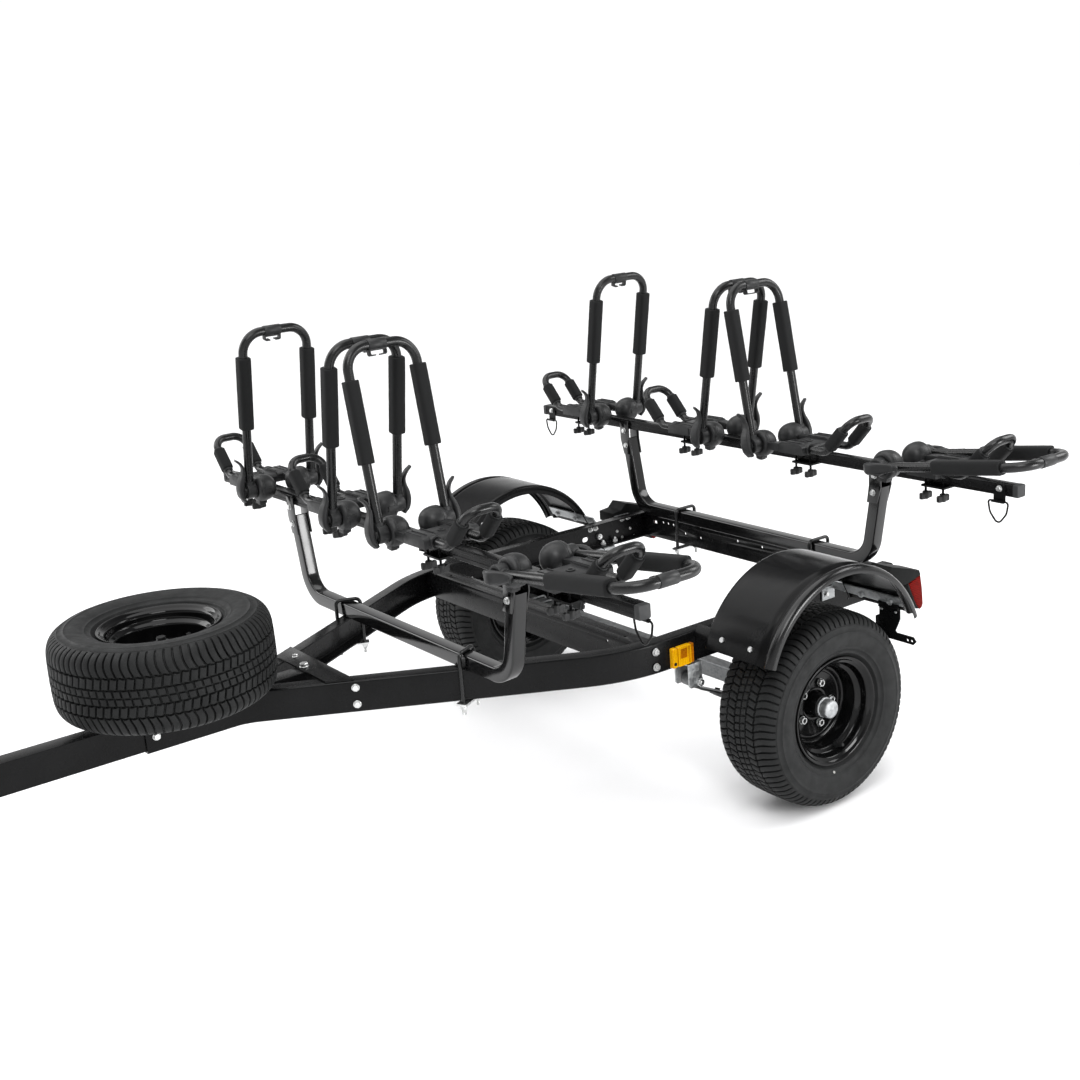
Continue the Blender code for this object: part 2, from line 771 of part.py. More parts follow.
# ---------------------------------------------------------------- fenders
def fender():
    y0, y1 = FENDER_Y
    r, t = FENDER_R, 0.003
    outline = (
        (r, y0), (r, y1 - 0.009), (r - 0.006, y1), (r - 0.018, y1),
        (r - 0.018, y1 - t), (r - 0.0075, y1 - t), (r - t, y1 - 0.011), (r - t, y0),
    )
    cx, cz = FENDER_AT
    path, sides = [], []
    n = 14
    for k in range(n + 1):
        a = math.radians(FENDER_ENDS[0] + (FENDER_ENDS[1] - FENDER_ENDS[0]) * k / n)
        path.append((cx, 0.0, cz))
        sides.append(((math.cos(a), 0.0, math.sin(a)), (0, 1, 0)))
    return swept(path, sides, outline)


FENDER = fender()
place("fender_left", FENDER, BLACK_PAINT)
place("fender_right", flipped(FENDER, 1), BLACK_PAINT)


def fender_bracket():
    """Strap from the rail's web out under the fender's front end."""
    cx, cz = FENDER_AT
    a = math.radians(27.5)
    out = Vector((math.cos(a), math.sin(a)))
    along = Vector((-out.y, out.x))
    r1 = FENDER_R - 0.003 - GAP
    # the strap lies flat inside the curved skin, so its corners set the clearance
    r1 = math.sqrt(r1 * r1 - 0.016**2) - 0.0012
    r0 = r1 - 0.004
    corners = []
    for r, u in ((r0, -0.016), (r1, -0.016), (r1, 0.016), (r0, 0.016)):
        p = Vector((cx, cz)) + out * r + along * u
        corners.append((p.x, p.y))
    web = RAIL_CORNERS[3][1] + GAP
    strap = prism(corners, ALONG_Y, web, 0.760)
    mid = sum((c[0] for c in corners), 0.0) / 4
    tab = box(mid - 0.042, mid + 0.006, web, web + 0.004, 0.452, 0.486)
    bolts = []
    centre = Vector((cx, cz)) + out * (r0 + 0.001) - along * 0.005
    for y in (0.624, 0.724):
        ring = circle(0, 0, 0.0085, 6)
        bm = bmesh.new()
        ends = []
        for w in (0.0, -0.009):
            ends.append(
                [
                    bm.verts.new(
                        (
                            centre.x + along.x * u + out.x * w,
                            y + v,
                            centre.y + along.y * u + out.y * w,
                        )
                    )
                    for u, v in ring
                ]
            )
        bm.faces.new(ends[0])
        bm.faces.new(ends[1])
        bridge(bm, ends[0], ends[1])
        bolts.append(finish(bm))
    return joined(strap, tab, *bolts)


BRACKET = fender_bracket()
BRACKET_REAR = flipped(BRACKET, 0)
place("fender_bracket_front_left", BRACKET, BLACK_PAINT)
place("fender_bracket_front_right", flipped(BRACKET, 1), BLACK_PAINT)
place("fender_bracket_rear_right", flipped(BRACKET_REAR, 1), GALVANISED)
# the left rear bracket also carries the licence-plate bracket, hung by a bent lip
plate_x = -0.2542
licence = prism(
    (
        (0.6800, 0.4720), (0.6800, 0.4390), (0.6670, 0.4320), (0.6670, 0.4000), (0.6900, 0.3780),
        (0.7935, 0.3780), (0.8030, 0.3885), (0.7935, 0.3995), (0.7380, 0.3995), (0.7340, 0.4040),
        (0.7496, 0.4380), (0.7496, 0.4720),
    ),
    ALONG_X, plate_x - 0.003, plate_x,
)
licence = cut(
    licence,
    prism(circle(0.7746, 0.3872, 0.0036, 6), ALONG_X, plate_x - 0.01, plate_x + 0.01),
    prism(circle(0.7885, 0.3878, 0.0036, 6), ALONG_X, plate_x - 0.01, plate_x + 0.01),
)
lip = box(plate_x - 0.0003, plate_x + 0.0062, 0.682, 0.7475, 0.462, 0.4800)
place("fender_bracket_rear_left", joined(BRACKET_REAR, lip, licence), GALVANISED)


# ---------------------------------------------------------------- tail lamps
def tail_lamp():
    y0, y1 = 0.5330, 0.6050
    side = (
        (-0.335, 0.462), (-0.335, 0.496), (-0.372, 0.499), (-0.394, 0.520),
        (-0.508, 0.484), (-0.517, 0.460), (-0.524, 0.380), (-0.510, 0.368),
        (-0.495, 0.385), (-0.455, 0.455),
    )
    shape = prism(side, ALONG_Y, y0, y1)
    web = RAIL_CORNERS[3][1] + GAP
    # mounting tab against the rail
    return joined(shape, box(-0.400, -0.340, web, y0 + 0.002, 0.466, 0.486))


LAMP_SHAPE = tail_lamp()
place("tail_lamp_left", LAMP_SHAPE, LAMP)
place("tail_lamp_right", flipped(LAMP_SHAPE, 1), LAMP)


# ---------------------------------------------------------------- risers and load bars
def riser():
    """Square tube across both rails, bent up at each end, with the ears and
    bolts that hold the load bar. Origin on the bar's X."""
    z = RAIL_TOP + GAP + RISER_W / 2
    tan_tilt = math.tan(RISER_TILT)
    foot = RISER_AT_Y - (RISER_AT_Z - z) * tan_tilt
    end_y = RISER_AT_Y + (RISER_END_Z - RISER_AT_Z) * tan_tilt
    points = ((-end_y, RISER_END_Z), (-foot, z), (foot, z), (end_y, RISER_END_Z))
    line = rounded(points, (0.0, RISER_BEND_R, RISER_BEND_R, 0.0), (0, 5, 5, 0))
    path = [(0.0, p.x, p.y) for p, _ in line]
    sides = [((1, 0, 0), (0.0, n.x, n.y)) for _, n in line]
    h = RISER_W / 2
    tube = swept(path, sides, rectangle(h, h), rectangle(h - RISER_T, h - RISER_T))
    ears = []
    for s in (-1, 1):
        y_mid = s * (end_y - 0.001)
        for side in (-1, 1):
            x0, x1 = sorted((side * (h - 0.0004), side * (h + 0.0040)))
            lean = s * 0.018
            outline = (
                (y_mid - s * 0.021 - lean * 0.45, 0.686), (y_mid + s * 0.015 - lean * 0.45, 0.686),
                (y_mid + s * 0.021, 0.735), (y_mid + s * 0.021, 0.798),
                (y_mid - s * 0.021, 0.798), (y_mid - s * 0.021, 0.735),
            )
            ears.append(prism(outline, ALONG_X, x0, x1))
        low = BAR_Z - BAR_W / 2
        ears.append(prism(circle(y_mid, low - 0.0050, 0.0045, 6, 0.5), ALONG_X, -h - 0.010, h + 0.010))
    return joined(tube, *ears)


RISER = riser()
place("riser_bar_front", RISER, BLACK_PAINT, (BAR_FRONT_X, 0, 0))
place("riser_bar_rear", RISER, BLACK_PAINT, (BAR_REAR_X, 0, 0))


def chamfered(h, c):
    return [
        (-h + c, -h), (h - c, -h), (h, -h + c), (h, h - c),
        (h - c, h), (-h + c, h), (-h, h - c), (-h, -h + c),
    ]


h = BAR_W / 2
LOAD_BAR = swept(
    [(0, -BAR_LEN / 2, 0), (0, BAR_LEN / 2, 0)],
    [((1, 0, 0), (0, 0, 1))] * 2,
    chamfered(h, 0.003),
    chamfered(h - 0.002, 0.002),
)
place("load_bar_front", LOAD_BAR, BLACK_PAINT, (BAR_FRONT_X, 0, BAR_Z))
place("load_bar_rear", LOAD_BAR, BLACK_PAINT, (BAR_REAR_X, 0, BAR_Z))


# ---------------------------------------------------------------- U-bolts
def u_bolt(half_span):
    """Rod over the riser, legs down past the frame, plate and nuts below."""
    r = 0.0040
    top = RAIL_TOP + GAP + RISER_W + GAP + r
    low = 0.376
    rod = tube_along(
        ((-half_span, low), (-half_span, top), (half_span, top), (half_span, low)),
        (0, 0.010, 0.010, 0),
        (0, 2, 2, 0),
        lambda p, free=False: (p.x, 0.0, p.y),
        (0, 1, 0),
        r,
        6,
    )
    z1 = RAIL_BOTTOM - GAP
    plate = box(-half_span - 0.013, half_span + 0.013, -0.014, 0.014, z1 - 0.005, z1)
    nuts = [
        prism(hexagon(s * half_span, 0, 0.0082), ALONG_Z, z1 - 0.0130, z1 - 0.0045)
        for s in (-1, 1)
    ]
    return joined(plate, rod, *nuts)


FRONT_U = u_bolt(math.hypot(0.030, 0.015))
REAR_U = u_bolt(0.0395)
for side, sign in (("left", 1), ("right", -1)):
    angle = sign * math.atan2(0.015, 0.030)
    place(f"u_bolt_front_{side}", FRONT_U, ZINC, (BAR_FRONT_X, sign * 0.295, 0), (0, 0, angle))
    place(f"u_bolt_rear_{side}", REAR_U, ZINC, (-0.4410, sign * 0.290, 0))


# ---------------------------------------------------------------- carriers
def carrier_base():
    """Fixed half of a carrier with its cradle towards +Y. Origin on the pivot."""
    shapes = []
    bar_top = BAR_Z + BAR_W / 2 - PIVOT_Z
    bar_low = BAR_Z - BAR_W / 2 - PIVOT_Z
    saddle = prism(
        (
            (0.080, bar_top + GAP), (0.175, bar_top + GAP), (0.175, 0.010),
            (0.165, 0.016), (0.090, 0.016), (0.080, 0.010),
        ),
        ALONG_X, -0.080, 0.080,
    )
    shapes.append(saddle)
    for s in (-1, 1):
        x0, x1 = sorted((s * 0.0465, s * 0.0785))
        shapes.append(box(x0, x1, 0.012, 0.086, -0.0115, 0.0075))
        drum = turned(
            (
                (0, s * 0.0450), (0.0400, s * 0.0450), (0.0400, s * 0.0850),
                (0.0066, s * 0.0850), (0.0066, s * 0.0700), (0, s * 0.0700),
            ),
            8,
            AXIS_X,
        )
        shapes.append(drum)
    # cradle tube, out of the saddle, up round the hoop and back, with its two pads
    r, x = CRADLE_TUBE_R, CRADLE_X
    up = math.radians(47.0)
    bend, rise = 0.236, 0.132
    slope = Vector((0, math.cos(up), math.sin(up)))
    normal_up = Vector((0, -math.sin(up), math.cos(up)))
    leg_end = Vector((0, bend, 0)) + slope * rise
    corner = 0.036
    wide = 0.0165 / r
    leg = [(Vector((0, 0.160, 0.0)), 1.0), (Vector((0, bend, 0.0)), 1.0)]
    for along, size in ((0.022, 1.0), (0.022, wide), (0.092, wide), (0.092, 1.0)):
        leg.append((Vector((0, bend, 0)) + slope * along, size))
    path, dirs, sizes = [], [], []

    def add_leg(side, points):
        for k, (p, size) in enumerate(points):
            flat = p.z == 0.0 and p.y < bend
            up_dir = Vector((0, 0, 1)) if flat else normal_up
            path.append(p + Vector((side * x, 0, 0)))
            dirs.append((Vector((-side, 0, 0)), up_dir))
            sizes.append(size)

    add_leg(-1, leg)
    # the hoop's corners lie in the sloping plane
    hoop = rounded(
        ((-x, -rise), (-x, 0.0), (x, 0.0), (x, -rise)), (0, corner, corner, 0), (0, 2, 2, 0)
    )
    for p, n in hoop[1:-1]:
        path.append(Vector((p.x, leg_end.y, leg_end.z)) + slope * p.y)
        dirs.append((-(Vector((n.x, 0, 0)) + slope * n.y), normal_up))
        sizes.append(1.0)
    add_leg(1, leg[::-1])
    shapes.append(swept(path, dirs, circle(0, 0, r, 6), sizes=sizes))
    # clamp round the load bar: plate below, leg behind, two posts with T-knobs
    low = bar_low - GAP
    shapes.append(box(-0.0350, 0.0380, 0.092, 0.168, low - 0.0055, low))
    shapes.append(box(-0.0320, -0.0270, 0.096, 0.164, low - 0.003, bar_top + GAP + 0.004))
    for y in (0.102, 0.158):
        shapes.append(box(0.0255, 0.0325, y - 0.0035, y + 0.0035, -0.070, bar_top + GAP + 0.004))
        shapes.append(box(0.0080, 0.0500, y - 0.007, y + 0.007, -0.084, -0.066))
    return joined(*shapes)


def carrier_arm():
    """Hoop arm standing along +Z from its pivot, with pads, bosses, levers and
    the strap clip. Origin on the pivot."""
    x, top, r = ARM_X, ARM_TOP, ARM_TUBE_R
    line = rounded(
        ((-x, 0.0), (-x, top), (x, top), (x, 0.0)),
        (0, ARM_CORNER_R, ARM_CORNER_R, 0),
        (0, 3, 3, 0),
    )
    low, high = PAD_SPAN
    rings = [(p, n, 1.0) for p, n in line]
    wide = PAD_R / r
    pad = [(low, 1.0), (low, wide), (high, wide), (high, 1.0)]
    first, last = line[0][1], line[-1][1]
    rings[1:1] = [(Vector((-x, z)), first, k) for z, k in pad]
    rings[-1:-1] = [(Vector((x, z)), last, k) for z, k in reversed(pad)]
    hoop = swept(
        [(p.x, 0.0, p.y) for p, _, _ in rings],
        [((n.x, 0.0, n.y), (0, 1, 0)) for _, n, _ in rings],
        circle(0, 0, r, 6),
        sizes=[k for _, _, k in rings],
    )
    shapes = [hoop]
    for s in (-1, 1):
        boss = turned(
            (
                (0, s * 0.0735), (0.0054, s * 0.0735), (0.0054, s * 0.0854),
                (0.0240, s * 0.0854), (0.0240, s * 0.1130), (0, s * 0.1130),
            ),
            8,
            AXIS_X,
        )
        shapes.append(boss)
        # release lever on the outside of the boss, curling outward
        line = rounded(
            ((s * 0.1130, -0.024), (s * 0.1170, 0.050), (s * 0.1330, 0.078), (s * 0.1480, 0.104)),
            (0, 0.05, 0.05, 0),
            (0, 1, 1, 0),
        )
        shapes.append(
            swept(
                [(p.x, 0.0, p.y) for p, _ in line],
                [((n.x, 0.0, n.y), (0, 1, 0)) for _, n in line],
                rectangle(0.0028, 0.0095),
            )
        )
    # clip for the strap in the middle of the hoop, open at its lower edge
    clip = (
        (-0.022, top + 0.0125), (-0.022, top - 0.033), (-0.004, top - 0.033),
        (-0.004, top - 0.0295), (-0.0185, top - 0.0295), (-0.0185, top - 0.0135),
        (0.0185, top - 0.0135), (0.0185, top - 0.0295), (0.004, top - 0.0295),
        (0.004, top - 0.033), (0.022, top - 0.033), (0.022, top + 0.0125),
    )
    shapes.append(prism(clip, ALONG_Y, -0.0130, 0.0130))
    return joined(*shapes)


BASE = carrier_base()
BASE_MIRRORED = flipped(BASE, 1)
ARM = carrier_arm()
for name, bar_x, y, side, folded in CARRIERS:
    at = (bar_x, y, PIVOT_Z)
    place(f"carrier_base_{name}", BASE if side > 0 else BASE_MIRRORED, PLASTIC, at)
    tilt = -side * ARM_FOLDED if folded else side * ARM_LEAN
    place(f"carrier_arm_{name}", ARM, HOOP_PAINT, at, (tilt, 0, 0))

for me in list(bpy.data.meshes):
    if me.users == 0:
        bpy.data.meshes.remove(me)
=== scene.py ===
"""Looks for the kayak trailer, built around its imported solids."""

import math

import bmesh
import bpy
from mathutils import Matrix, Vector, noise


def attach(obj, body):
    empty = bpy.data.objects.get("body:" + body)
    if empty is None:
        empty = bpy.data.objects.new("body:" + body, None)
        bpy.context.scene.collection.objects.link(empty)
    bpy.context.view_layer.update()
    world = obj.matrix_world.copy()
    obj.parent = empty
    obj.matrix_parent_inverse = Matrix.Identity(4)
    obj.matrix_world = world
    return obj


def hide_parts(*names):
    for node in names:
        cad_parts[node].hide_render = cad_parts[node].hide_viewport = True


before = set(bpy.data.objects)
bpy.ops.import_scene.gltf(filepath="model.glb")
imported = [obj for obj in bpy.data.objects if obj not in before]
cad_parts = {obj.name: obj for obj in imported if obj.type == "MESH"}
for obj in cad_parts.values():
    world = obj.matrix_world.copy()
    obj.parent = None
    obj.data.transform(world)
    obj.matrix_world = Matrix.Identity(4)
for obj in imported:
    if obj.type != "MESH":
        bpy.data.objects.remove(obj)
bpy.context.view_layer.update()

# ------------------------------------------------------------------ dimensions
SHIFT = Vector((-1.2597, -0.0486, 0.0))  # world position of the point under the axle
INCH = 0.0254
PI = math.pi

WHEEL_Y, WHEEL_Z = 0.673, 0.2634 * math.cos(PI / 18)
SPARE_AT = Vector((1.447, 0.0, 0.618))
RAIL_TOP, RAIL_LOW, RAIL_T, RAIL_FLANGE = 0.4900, 0.4075, 0.0040, 0.0375
RAIL_CORNERS = ((1.530, 0.030), (1.2837, 0.030), (0.466, 0.5185), (-0.500, 0.5185))
TONGUE_W, TONGUE_H = 2 * INCH, 3 * INCH
FRONT_X, REAR_X = 0.802, -0.430
BAR_LEN, BAR_W, BAR_Z = 78 * INCH, 1.25 * INCH, 0.786
PIVOT_Z = 0.815
LEAN, FOLDED = math.radians(10.4), math.radians(82.5)
CARRIERS = (
    ("front_1", FRONT_X, -0.627, -1, False),
    ("front_2", FRONT_X, -0.136, -1, False),
    ("front_3", FRONT_X, 0.107, 1, False),
    ("front_4", FRONT_X, 0.620, 1, True),
    ("rear_1", REAR_X, -0.6155, -1, False),
    ("rear_2", REAR_X, -0.073, -1, False),
    ("rear_3", REAR_X, 0.147, 1, False),
    ("rear_4", REAR_X, 0.6135, 1, True),
)


# ------------------------------------------------------------------ materials
class Nodes:
    def __init__(self, name):
        self.m = bpy.data.materials.new(name)
        self.m.use_nodes = True
        self.t = self.m.node_tree
        self.s = self.t.nodes["Principled BSDF"]
        self.where = self.t.nodes.new("ShaderNodeTexCoord").outputs["Object"]

    def new(self, kind, **inputs):
        n = self.t.nodes.new(kind)
        for k, v in inputs.items():
            n.inputs[k.replace("_", " ")].default_value = v
        return n

    def link(self, a, b):
        self.t.links.new(a, b)

    def noise(self, scale, detail=4.0, rough=0.55, where=None):
        n = self.new("ShaderNodeTexNoise", Scale=scale, Detail=detail, Roughness=rough)
        self.link(where or self.where, n.inputs["Vector"])
        return n.outputs["Fac"]

    def cells(self, scale, feature="F1", out="Distance", where=None):
        n = self.new("ShaderNodeTexVoronoi", Scale=scale)
        n.feature = feature
        self.link(where or self.where, n.inputs["Vector"])
        return n.outputs[out]

    def stretched(self, x, y, z):
        n = self.t.nodes.new("ShaderNodeMapping")
        n.inputs["Scale"].default_value = (x, y, z)
        self.link(self.where, n.inputs["Vector"])
        return n.outputs["Vector"]

    def ramp(self, value, stops):
        n = self.t.nodes.new("ShaderNodeValToRGB")
        el = n.color_ramp.elements
        while len(el) < len(stops):
            el.new(0.5)
        for e, (at, colour) in zip(el, stops):
            e.position = at
            e.color = (*colour, 1.0)
        self.link(value, n.inputs["Fac"])
        return n.outputs["Color"]

    def range(self, value, low, high, a=0.3, b=0.7):
        n = self.t.nodes.new("ShaderNodeMapRange")
        for k, v in (("From Min", a), ("From Max", b), ("To Min", low), ("To Max", high)):
            n.inputs[k].default_value = v
        self.link(value, n.inputs["Value"])
        return n.outputs["Result"]

    def mix(self, factor, a, b):
        n = self.t.nodes.new("ShaderNodeMix")
        n.data_type = "RGBA"
        for value, socket in ((factor, n.inputs[0]), (a, n.inputs[6]), (b, n.inputs[7])):
            if isinstance(value, (tuple, float)):
                socket.default_value = (*value, 1.0) if isinstance(value, tuple) else value
            else:
                self.link(value, socket)
        return n.outputs[2]

    def plus(self, a, b, kind="ADD"):
        n = self.t.nodes.new("ShaderNodeMath")
        n.operation = kind
        for value, socket in ((a, n.inputs[0]), (b, n.inputs[1])):
            if isinstance(value, float):
                socket.default_value = value
            else:
                self.link(value, socket)
        return n.outputs[0]

    def bump(self, height, strength, distance, before=None):
        n = self.new("ShaderNodeBump", Strength=strength, Distance=distance)
        self.link(height, n.inputs["Height"])
        if before is not None:
            self.link(before, n.inputs["Normal"])
        return n.outputs["Normal"]

    def done(self, colour=None, rough=None, normal=None, **fixed):
        for socket, value in (("Base Color", colour), ("Roughness", rough), ("Normal", normal)):
            if value is not None:
                self.link(value, self.s.inputs[socket])
        for k, v in fixed.items():
            self.s.inputs[k.replace("_", " ")].default_value = v
        return self.m


def powder_coat(name, dark=0.0030, light=0.0062, low=0.20, high=0.32, level=0.12):
    """Baked powder coat: faint dust in patches, orange peel, fine grain."""
    n = Nodes(name)
    patch = n.noise(7.0, 5.0, 0.6)
    fine = n.noise(160.0, 3.0)
    mixed = n.plus(patch, n.plus(fine, 0.25, "MULTIPLY"), "ADD")
    colour = n.ramp(mixed, ((0.42, (dark, dark, dark * 1.05)), (0.85, (light, light * 1.02, light * 1.06))))
    rough = n.range(n.noise(22.0, 4.0), low, high)
    peel = n.bump(n.noise(620.0, 2.0), 0.10, 0.0004)
    normal = n.bump(n.noise(2600.0, 2.0), 0.06, 0.0001, peel)
    return n.done(colour, rough, normal, Metallic=0.0, IOR=1.5, Specular_IOR_Level=level)


def galvanised(name, k=1.0):
    """Hot-dip zinc: spangle, cloudy dull patches, fine scratches."""
    n = Nodes(name)
    spangle = n.cells(150.0, out="Color")
    cloud = n.noise(16.0, 5.0, 0.6)
    value = n.plus(n.plus(spangle, 0.45, "MULTIPLY"), n.plus(cloud, 0.55, "MULTIPLY"), "ADD")
    colour = n.ramp(value, ((0.25, (0.25 * k, 0.26 * k, 0.265 * k)), (0.55, (0.40 * k, 0.41 * k, 0.415 * k)), (0.80, (0.54 * k, 0.55 * k, 0.55 * k))))
    rough = n.range(value, 0.34, 0.60)
    scratch = n.noise(60.0, 3.0, where=n.stretched(1.0, 14.0, 1.0))
    normal = n.bump(scratch, 0.10, 0.0003, n.bump(spangle, 0.05, 0.0002))
    return n.done(colour, rough, normal, Metallic=0.85)


def zinc(name):
    """Bright zinc plate on bolts and the jack."""
    n = Nodes(name)
    cloud = n.noise(90.0, 4.0, 0.6)
    colour = n.ramp(cloud, ((0.35, (0.50, 0.505, 0.50)), (0.65, (0.74, 0.745, 0.74))))
    rough = n.range(n.noise(300.0, 3.0), 0.22, 0.42)
    normal = n.bump(n.noise(1500.0, 2.0), 0.08, 0.0001)
    return n.done(colour, rough, normal, Metallic=1.0)


def tyre_rubber(name):
    n = Nodes(name)
    cloud = n.noise(14.0, 5.0, 0.6)
    colour = n.ramp(cloud, ((0.35, (0.0052, 0.0055, 0.0056)), (0.70, (0.0100, 0.0106, 0.0107))))
    rough = n.range(n.noise(40.0, 4.0), 0.52, 0.72)
    normal = n.bump(n.noise(900.0, 3.0), 0.14, 0.0003)
    return n.done(colour, rough, normal, Metallic=0.0, IOR=1.5, Specular_IOR_Level=0.22)


def gloss_black(name):
    n = Nodes(name)
    cloud = n.noise(9.0, 4.0)
    colour = n.ramp(cloud, ((0.35, (0.0016, 0.0016, 0.0017)), (0.70, (0.0034, 0.0035, 0.0036))))
    rough = n.range(n.noise(30.0, 4.0), 0.08, 0.16)
    normal = n.bump(n.noise(260.0, 2.0), 0.05, 0.0003)
    return n.done(colour, rough, normal, Metallic=0.0, IOR=1.52, Specular_IOR_Level=0.15, Coat_Weight=0.10, Coat_Roughness=0.04)


def hoop_paint(name):
    n = Nodes(name)
    cloud = n.noise(18.0, 4.0)
    colour = n.ramp(cloud, ((0.35, (0.0028, 0.0030, 0.0031)), (0.70, (0.0058, 0.0060, 0.0062))))
    rough = n.range(n.noise(55.0, 4.0), 0.24, 0.32)
    normal = n.bump(n.noise(800.0, 2.0), 0.02, 0.0002)
    return n.done(colour, rough, normal, Metallic=0.0, IOR=1.5, Specular_IOR_Level=0.34)


def moulded(name, dark=(0.0070, 0.0073, 0.0076), light=(0.0135, 0.0139, 0.0145), low=0.36, high=0.52, level=0.34):
    """Glass-filled nylon with a fine spark-eroded grain."""
    n = Nodes(name)
    cloud = n.noise(26.0, 5.0, 0.6)
    colour = n.ramp(cloud, ((0.35, dark), (0.70, light)))
    rough = n.range(n.noise(70.0, 4.0), low, high)
    normal = n.bump(n.noise(1700.0, 3.0), 0.16, 0.0002)
    return n.done(colour, rough, normal, Metallic=0.0, IOR=1.5, Specular_IOR_Level=level)


def foam(name):
    """Closed-cell foam sleeve: tiny open pores, soft creases along it."""
    n = Nodes(name)
    cloud = n.noise(35.0, 5.0, 0.65)
    colour = n.ramp(cloud, ((0.35, (0.0040, 0.0042, 0.0044)), (0.70, (0.0082, 0.0085, 0.0088))))
    pores = n.cells(950.0)
    rough = n.range(cloud, 0.78, 0.95)
    crease = n.noise(60.0, 3.0, where=n.stretched(1.0, 1.0, 0.25))
    normal = n.bump(crease, 0.16, 0.0015, n.bump(pores, 0.35, 0.0004))
    return n.done(colour, rough, normal, Metallic=0.0, Specular_IOR_Level=0.22, Sheen_Weight=0.02, Sheen_Roughness=0.6)


def lens(name, dark, light, pitch, axis, soft=0.25, coat=0.6, level=0.4):
    """Moulded lens: fine prisms behind a clear gloss face."""
    n = Nodes(name)
    w = n.t.nodes.new("ShaderNodeTexWave")
    w.bands_direction = axis
    w.inputs["Scale"].default_value = pitch
    n.link(n.where, w.inputs["Vector"])
    cell = n.cells(260.0)
    value = n.plus(n.plus(w.outputs["Fac"], 0.6, "MULTIPLY"), n.plus(cell, 0.6, "MULTIPLY"), "ADD")
    colour = n.ramp(value, ((0.20, dark), (0.75, light)))
    rough = n.range(n.noise(40.0, 3.0), 0.06, 0.16)
    normal = n.bump(w.outputs["Fac"], 0.12, 0.0006)
    return n.done(colour, rough, normal, Metallic=0.0, IOR=1.49, Specular_IOR_Level=level, Coat_Weight=coat, Coat_Roughness=0.05, Subsurface_Weight=soft, Subsurface_Scale=0.01)


PAINT = powder_coat("black_powder_coat")
RISER_PAINT = powder_coat("black_gloss_coat", 0.0020, 0.0042, 0.09, 0.16, 0.46)
FENDER_PAINT = powder_coat("fender_satin_black", 0.0026, 0.0048, 0.16, 0.24, 0.10)
BEAD_PAINT = powder_coat("fender_bead_black", 0.0026, 0.0048, 0.18, 0.25, 0.36)
SATIN = powder_coat("black_satin_steel", 0.0028, 0.0056, 0.26, 0.36)
GLOSSY_ROD = hoop_paint("gloss_black_rod")
HOOP = hoop_paint("black_hoop_tube")
GALV = galvanised("galvanised_steel")
GALV_DULL = galvanised("galvanised_dull", 0.38)
ZINC = zinc("zinc_plated_steel")
PLATED = galvanised("zinc_plated_parts", 0.62)
RUBBER = tyre_rubber("tyre_rubber")
RIM = gloss_black("gloss_black_wheel")
PLASTIC = moulded("black_moulded_plastic")
KNOB = moulded("black_knob_plastic", (0.0040, 0.0042, 0.0045), (0.0080, 0.0083, 0.0087), 0.42, 0.58)
CAP = moulded("grey_end_cap", (0.0200, 0.0208, 0.0215), (0.0310, 0.0318, 0.0325), 0.50, 0.66)
JACK_RUBBER = moulded("jack_wheel_rubber", (0.0120, 0.0124, 0.0128), (0.0220, 0.0225, 0.0230), 0.62, 0.80)
FOAM = foam("pad_foam")
AMBER = lens("amber_lens", (0.54, 0.215, 0.0015), (0.68, 0.370, 0.003), 55.0, "X", 0.08, 0.2, 0.2)
AMBER_DARK = lens("amber_reflector", (0.16, 0.040, 0.001), (0.42, 0.130, 0.002), 90.0, "Z", 0.0, 0.3, 0.3)
RED = lens("red_lens", (0.008, 0.0005, 0.0004), (0.150, 0.0040, 0.0020), 60.0, "Z", 0.0, 0.02, 0.03)
HOOD = moulded("lamp_hood_plastic", (0.0024, 0.0027, 0.0027), (0.0048, 0.0053, 0.0053), 0.40, 0.55, 0.08)


# ------------------------------------------------------------------ mesh tools
class Mesh:
    """Points and faces gathered from several closed shapes."""

    def __init__(self):
        self.v, self.f = [], []

    def add(self, other, matrix=None):
        base = len(self.v)
        self.v += [matrix @ p for p in other.v] if matrix is not None else list(other.v)
        turn = matrix is not None and matrix.to_3x3().determinant() < 0
        for f in other.f:
            g = [i + base for i in f]
            self.f.append(g[::-1] if turn else g)
        return self

    def moved(self, x, y, z):
        return Mesh().add(self, Matrix.Translation((x, y, z)))

    def mirrored(self, axis):
        scale = [1, 1, 1]
        scale[axis] = -1
        return Mesh().add(self, Matrix.Diagonal((*scale, 1)))


def together(*shapes):
    out = Mesh()
    for s in shapes:
        out.add(s)
    return out


def loft(rings, caps=True, closed=False):
    """Quads between rings of the same length. closed joins the last ring to the first."""
    m = Mesh()
    n = len(rings[0])
    for r in rings:
        m.v += [Vector(p) for p in r]
    count = len(rings)
    for i in range(count if closed else count - 1):
        a, b = i * n, ((i + 1) % count) * n
        for k in range(n):
            j = (k + 1) % n
            m.f.append([a + k, a + j, b + j, b + k])
    if caps and not closed:
        m.f.append(list(range(n))[::-1])
        m.f.append([(count - 1) * n + k for k in range(n)])
    return m


AX, AY, AZ = 0, 1, 2


def set_axis(axis, u, v, w):
    """(u, v) across the axis and w along it."""
    return Vector(((w, u, v), (u, w, v), (u, v, w))[axis])


def prism(outline, axis, low, high):
    return loft([[set_axis(axis, u, v, w) for u, v in outline] for w in (low, high)])


def box(x0, x1, y0, y1, z0, z1):
    return prism(((x0, y0), (x1, y0), (x1, y1), (x0, y1)), AZ, z0, z1)


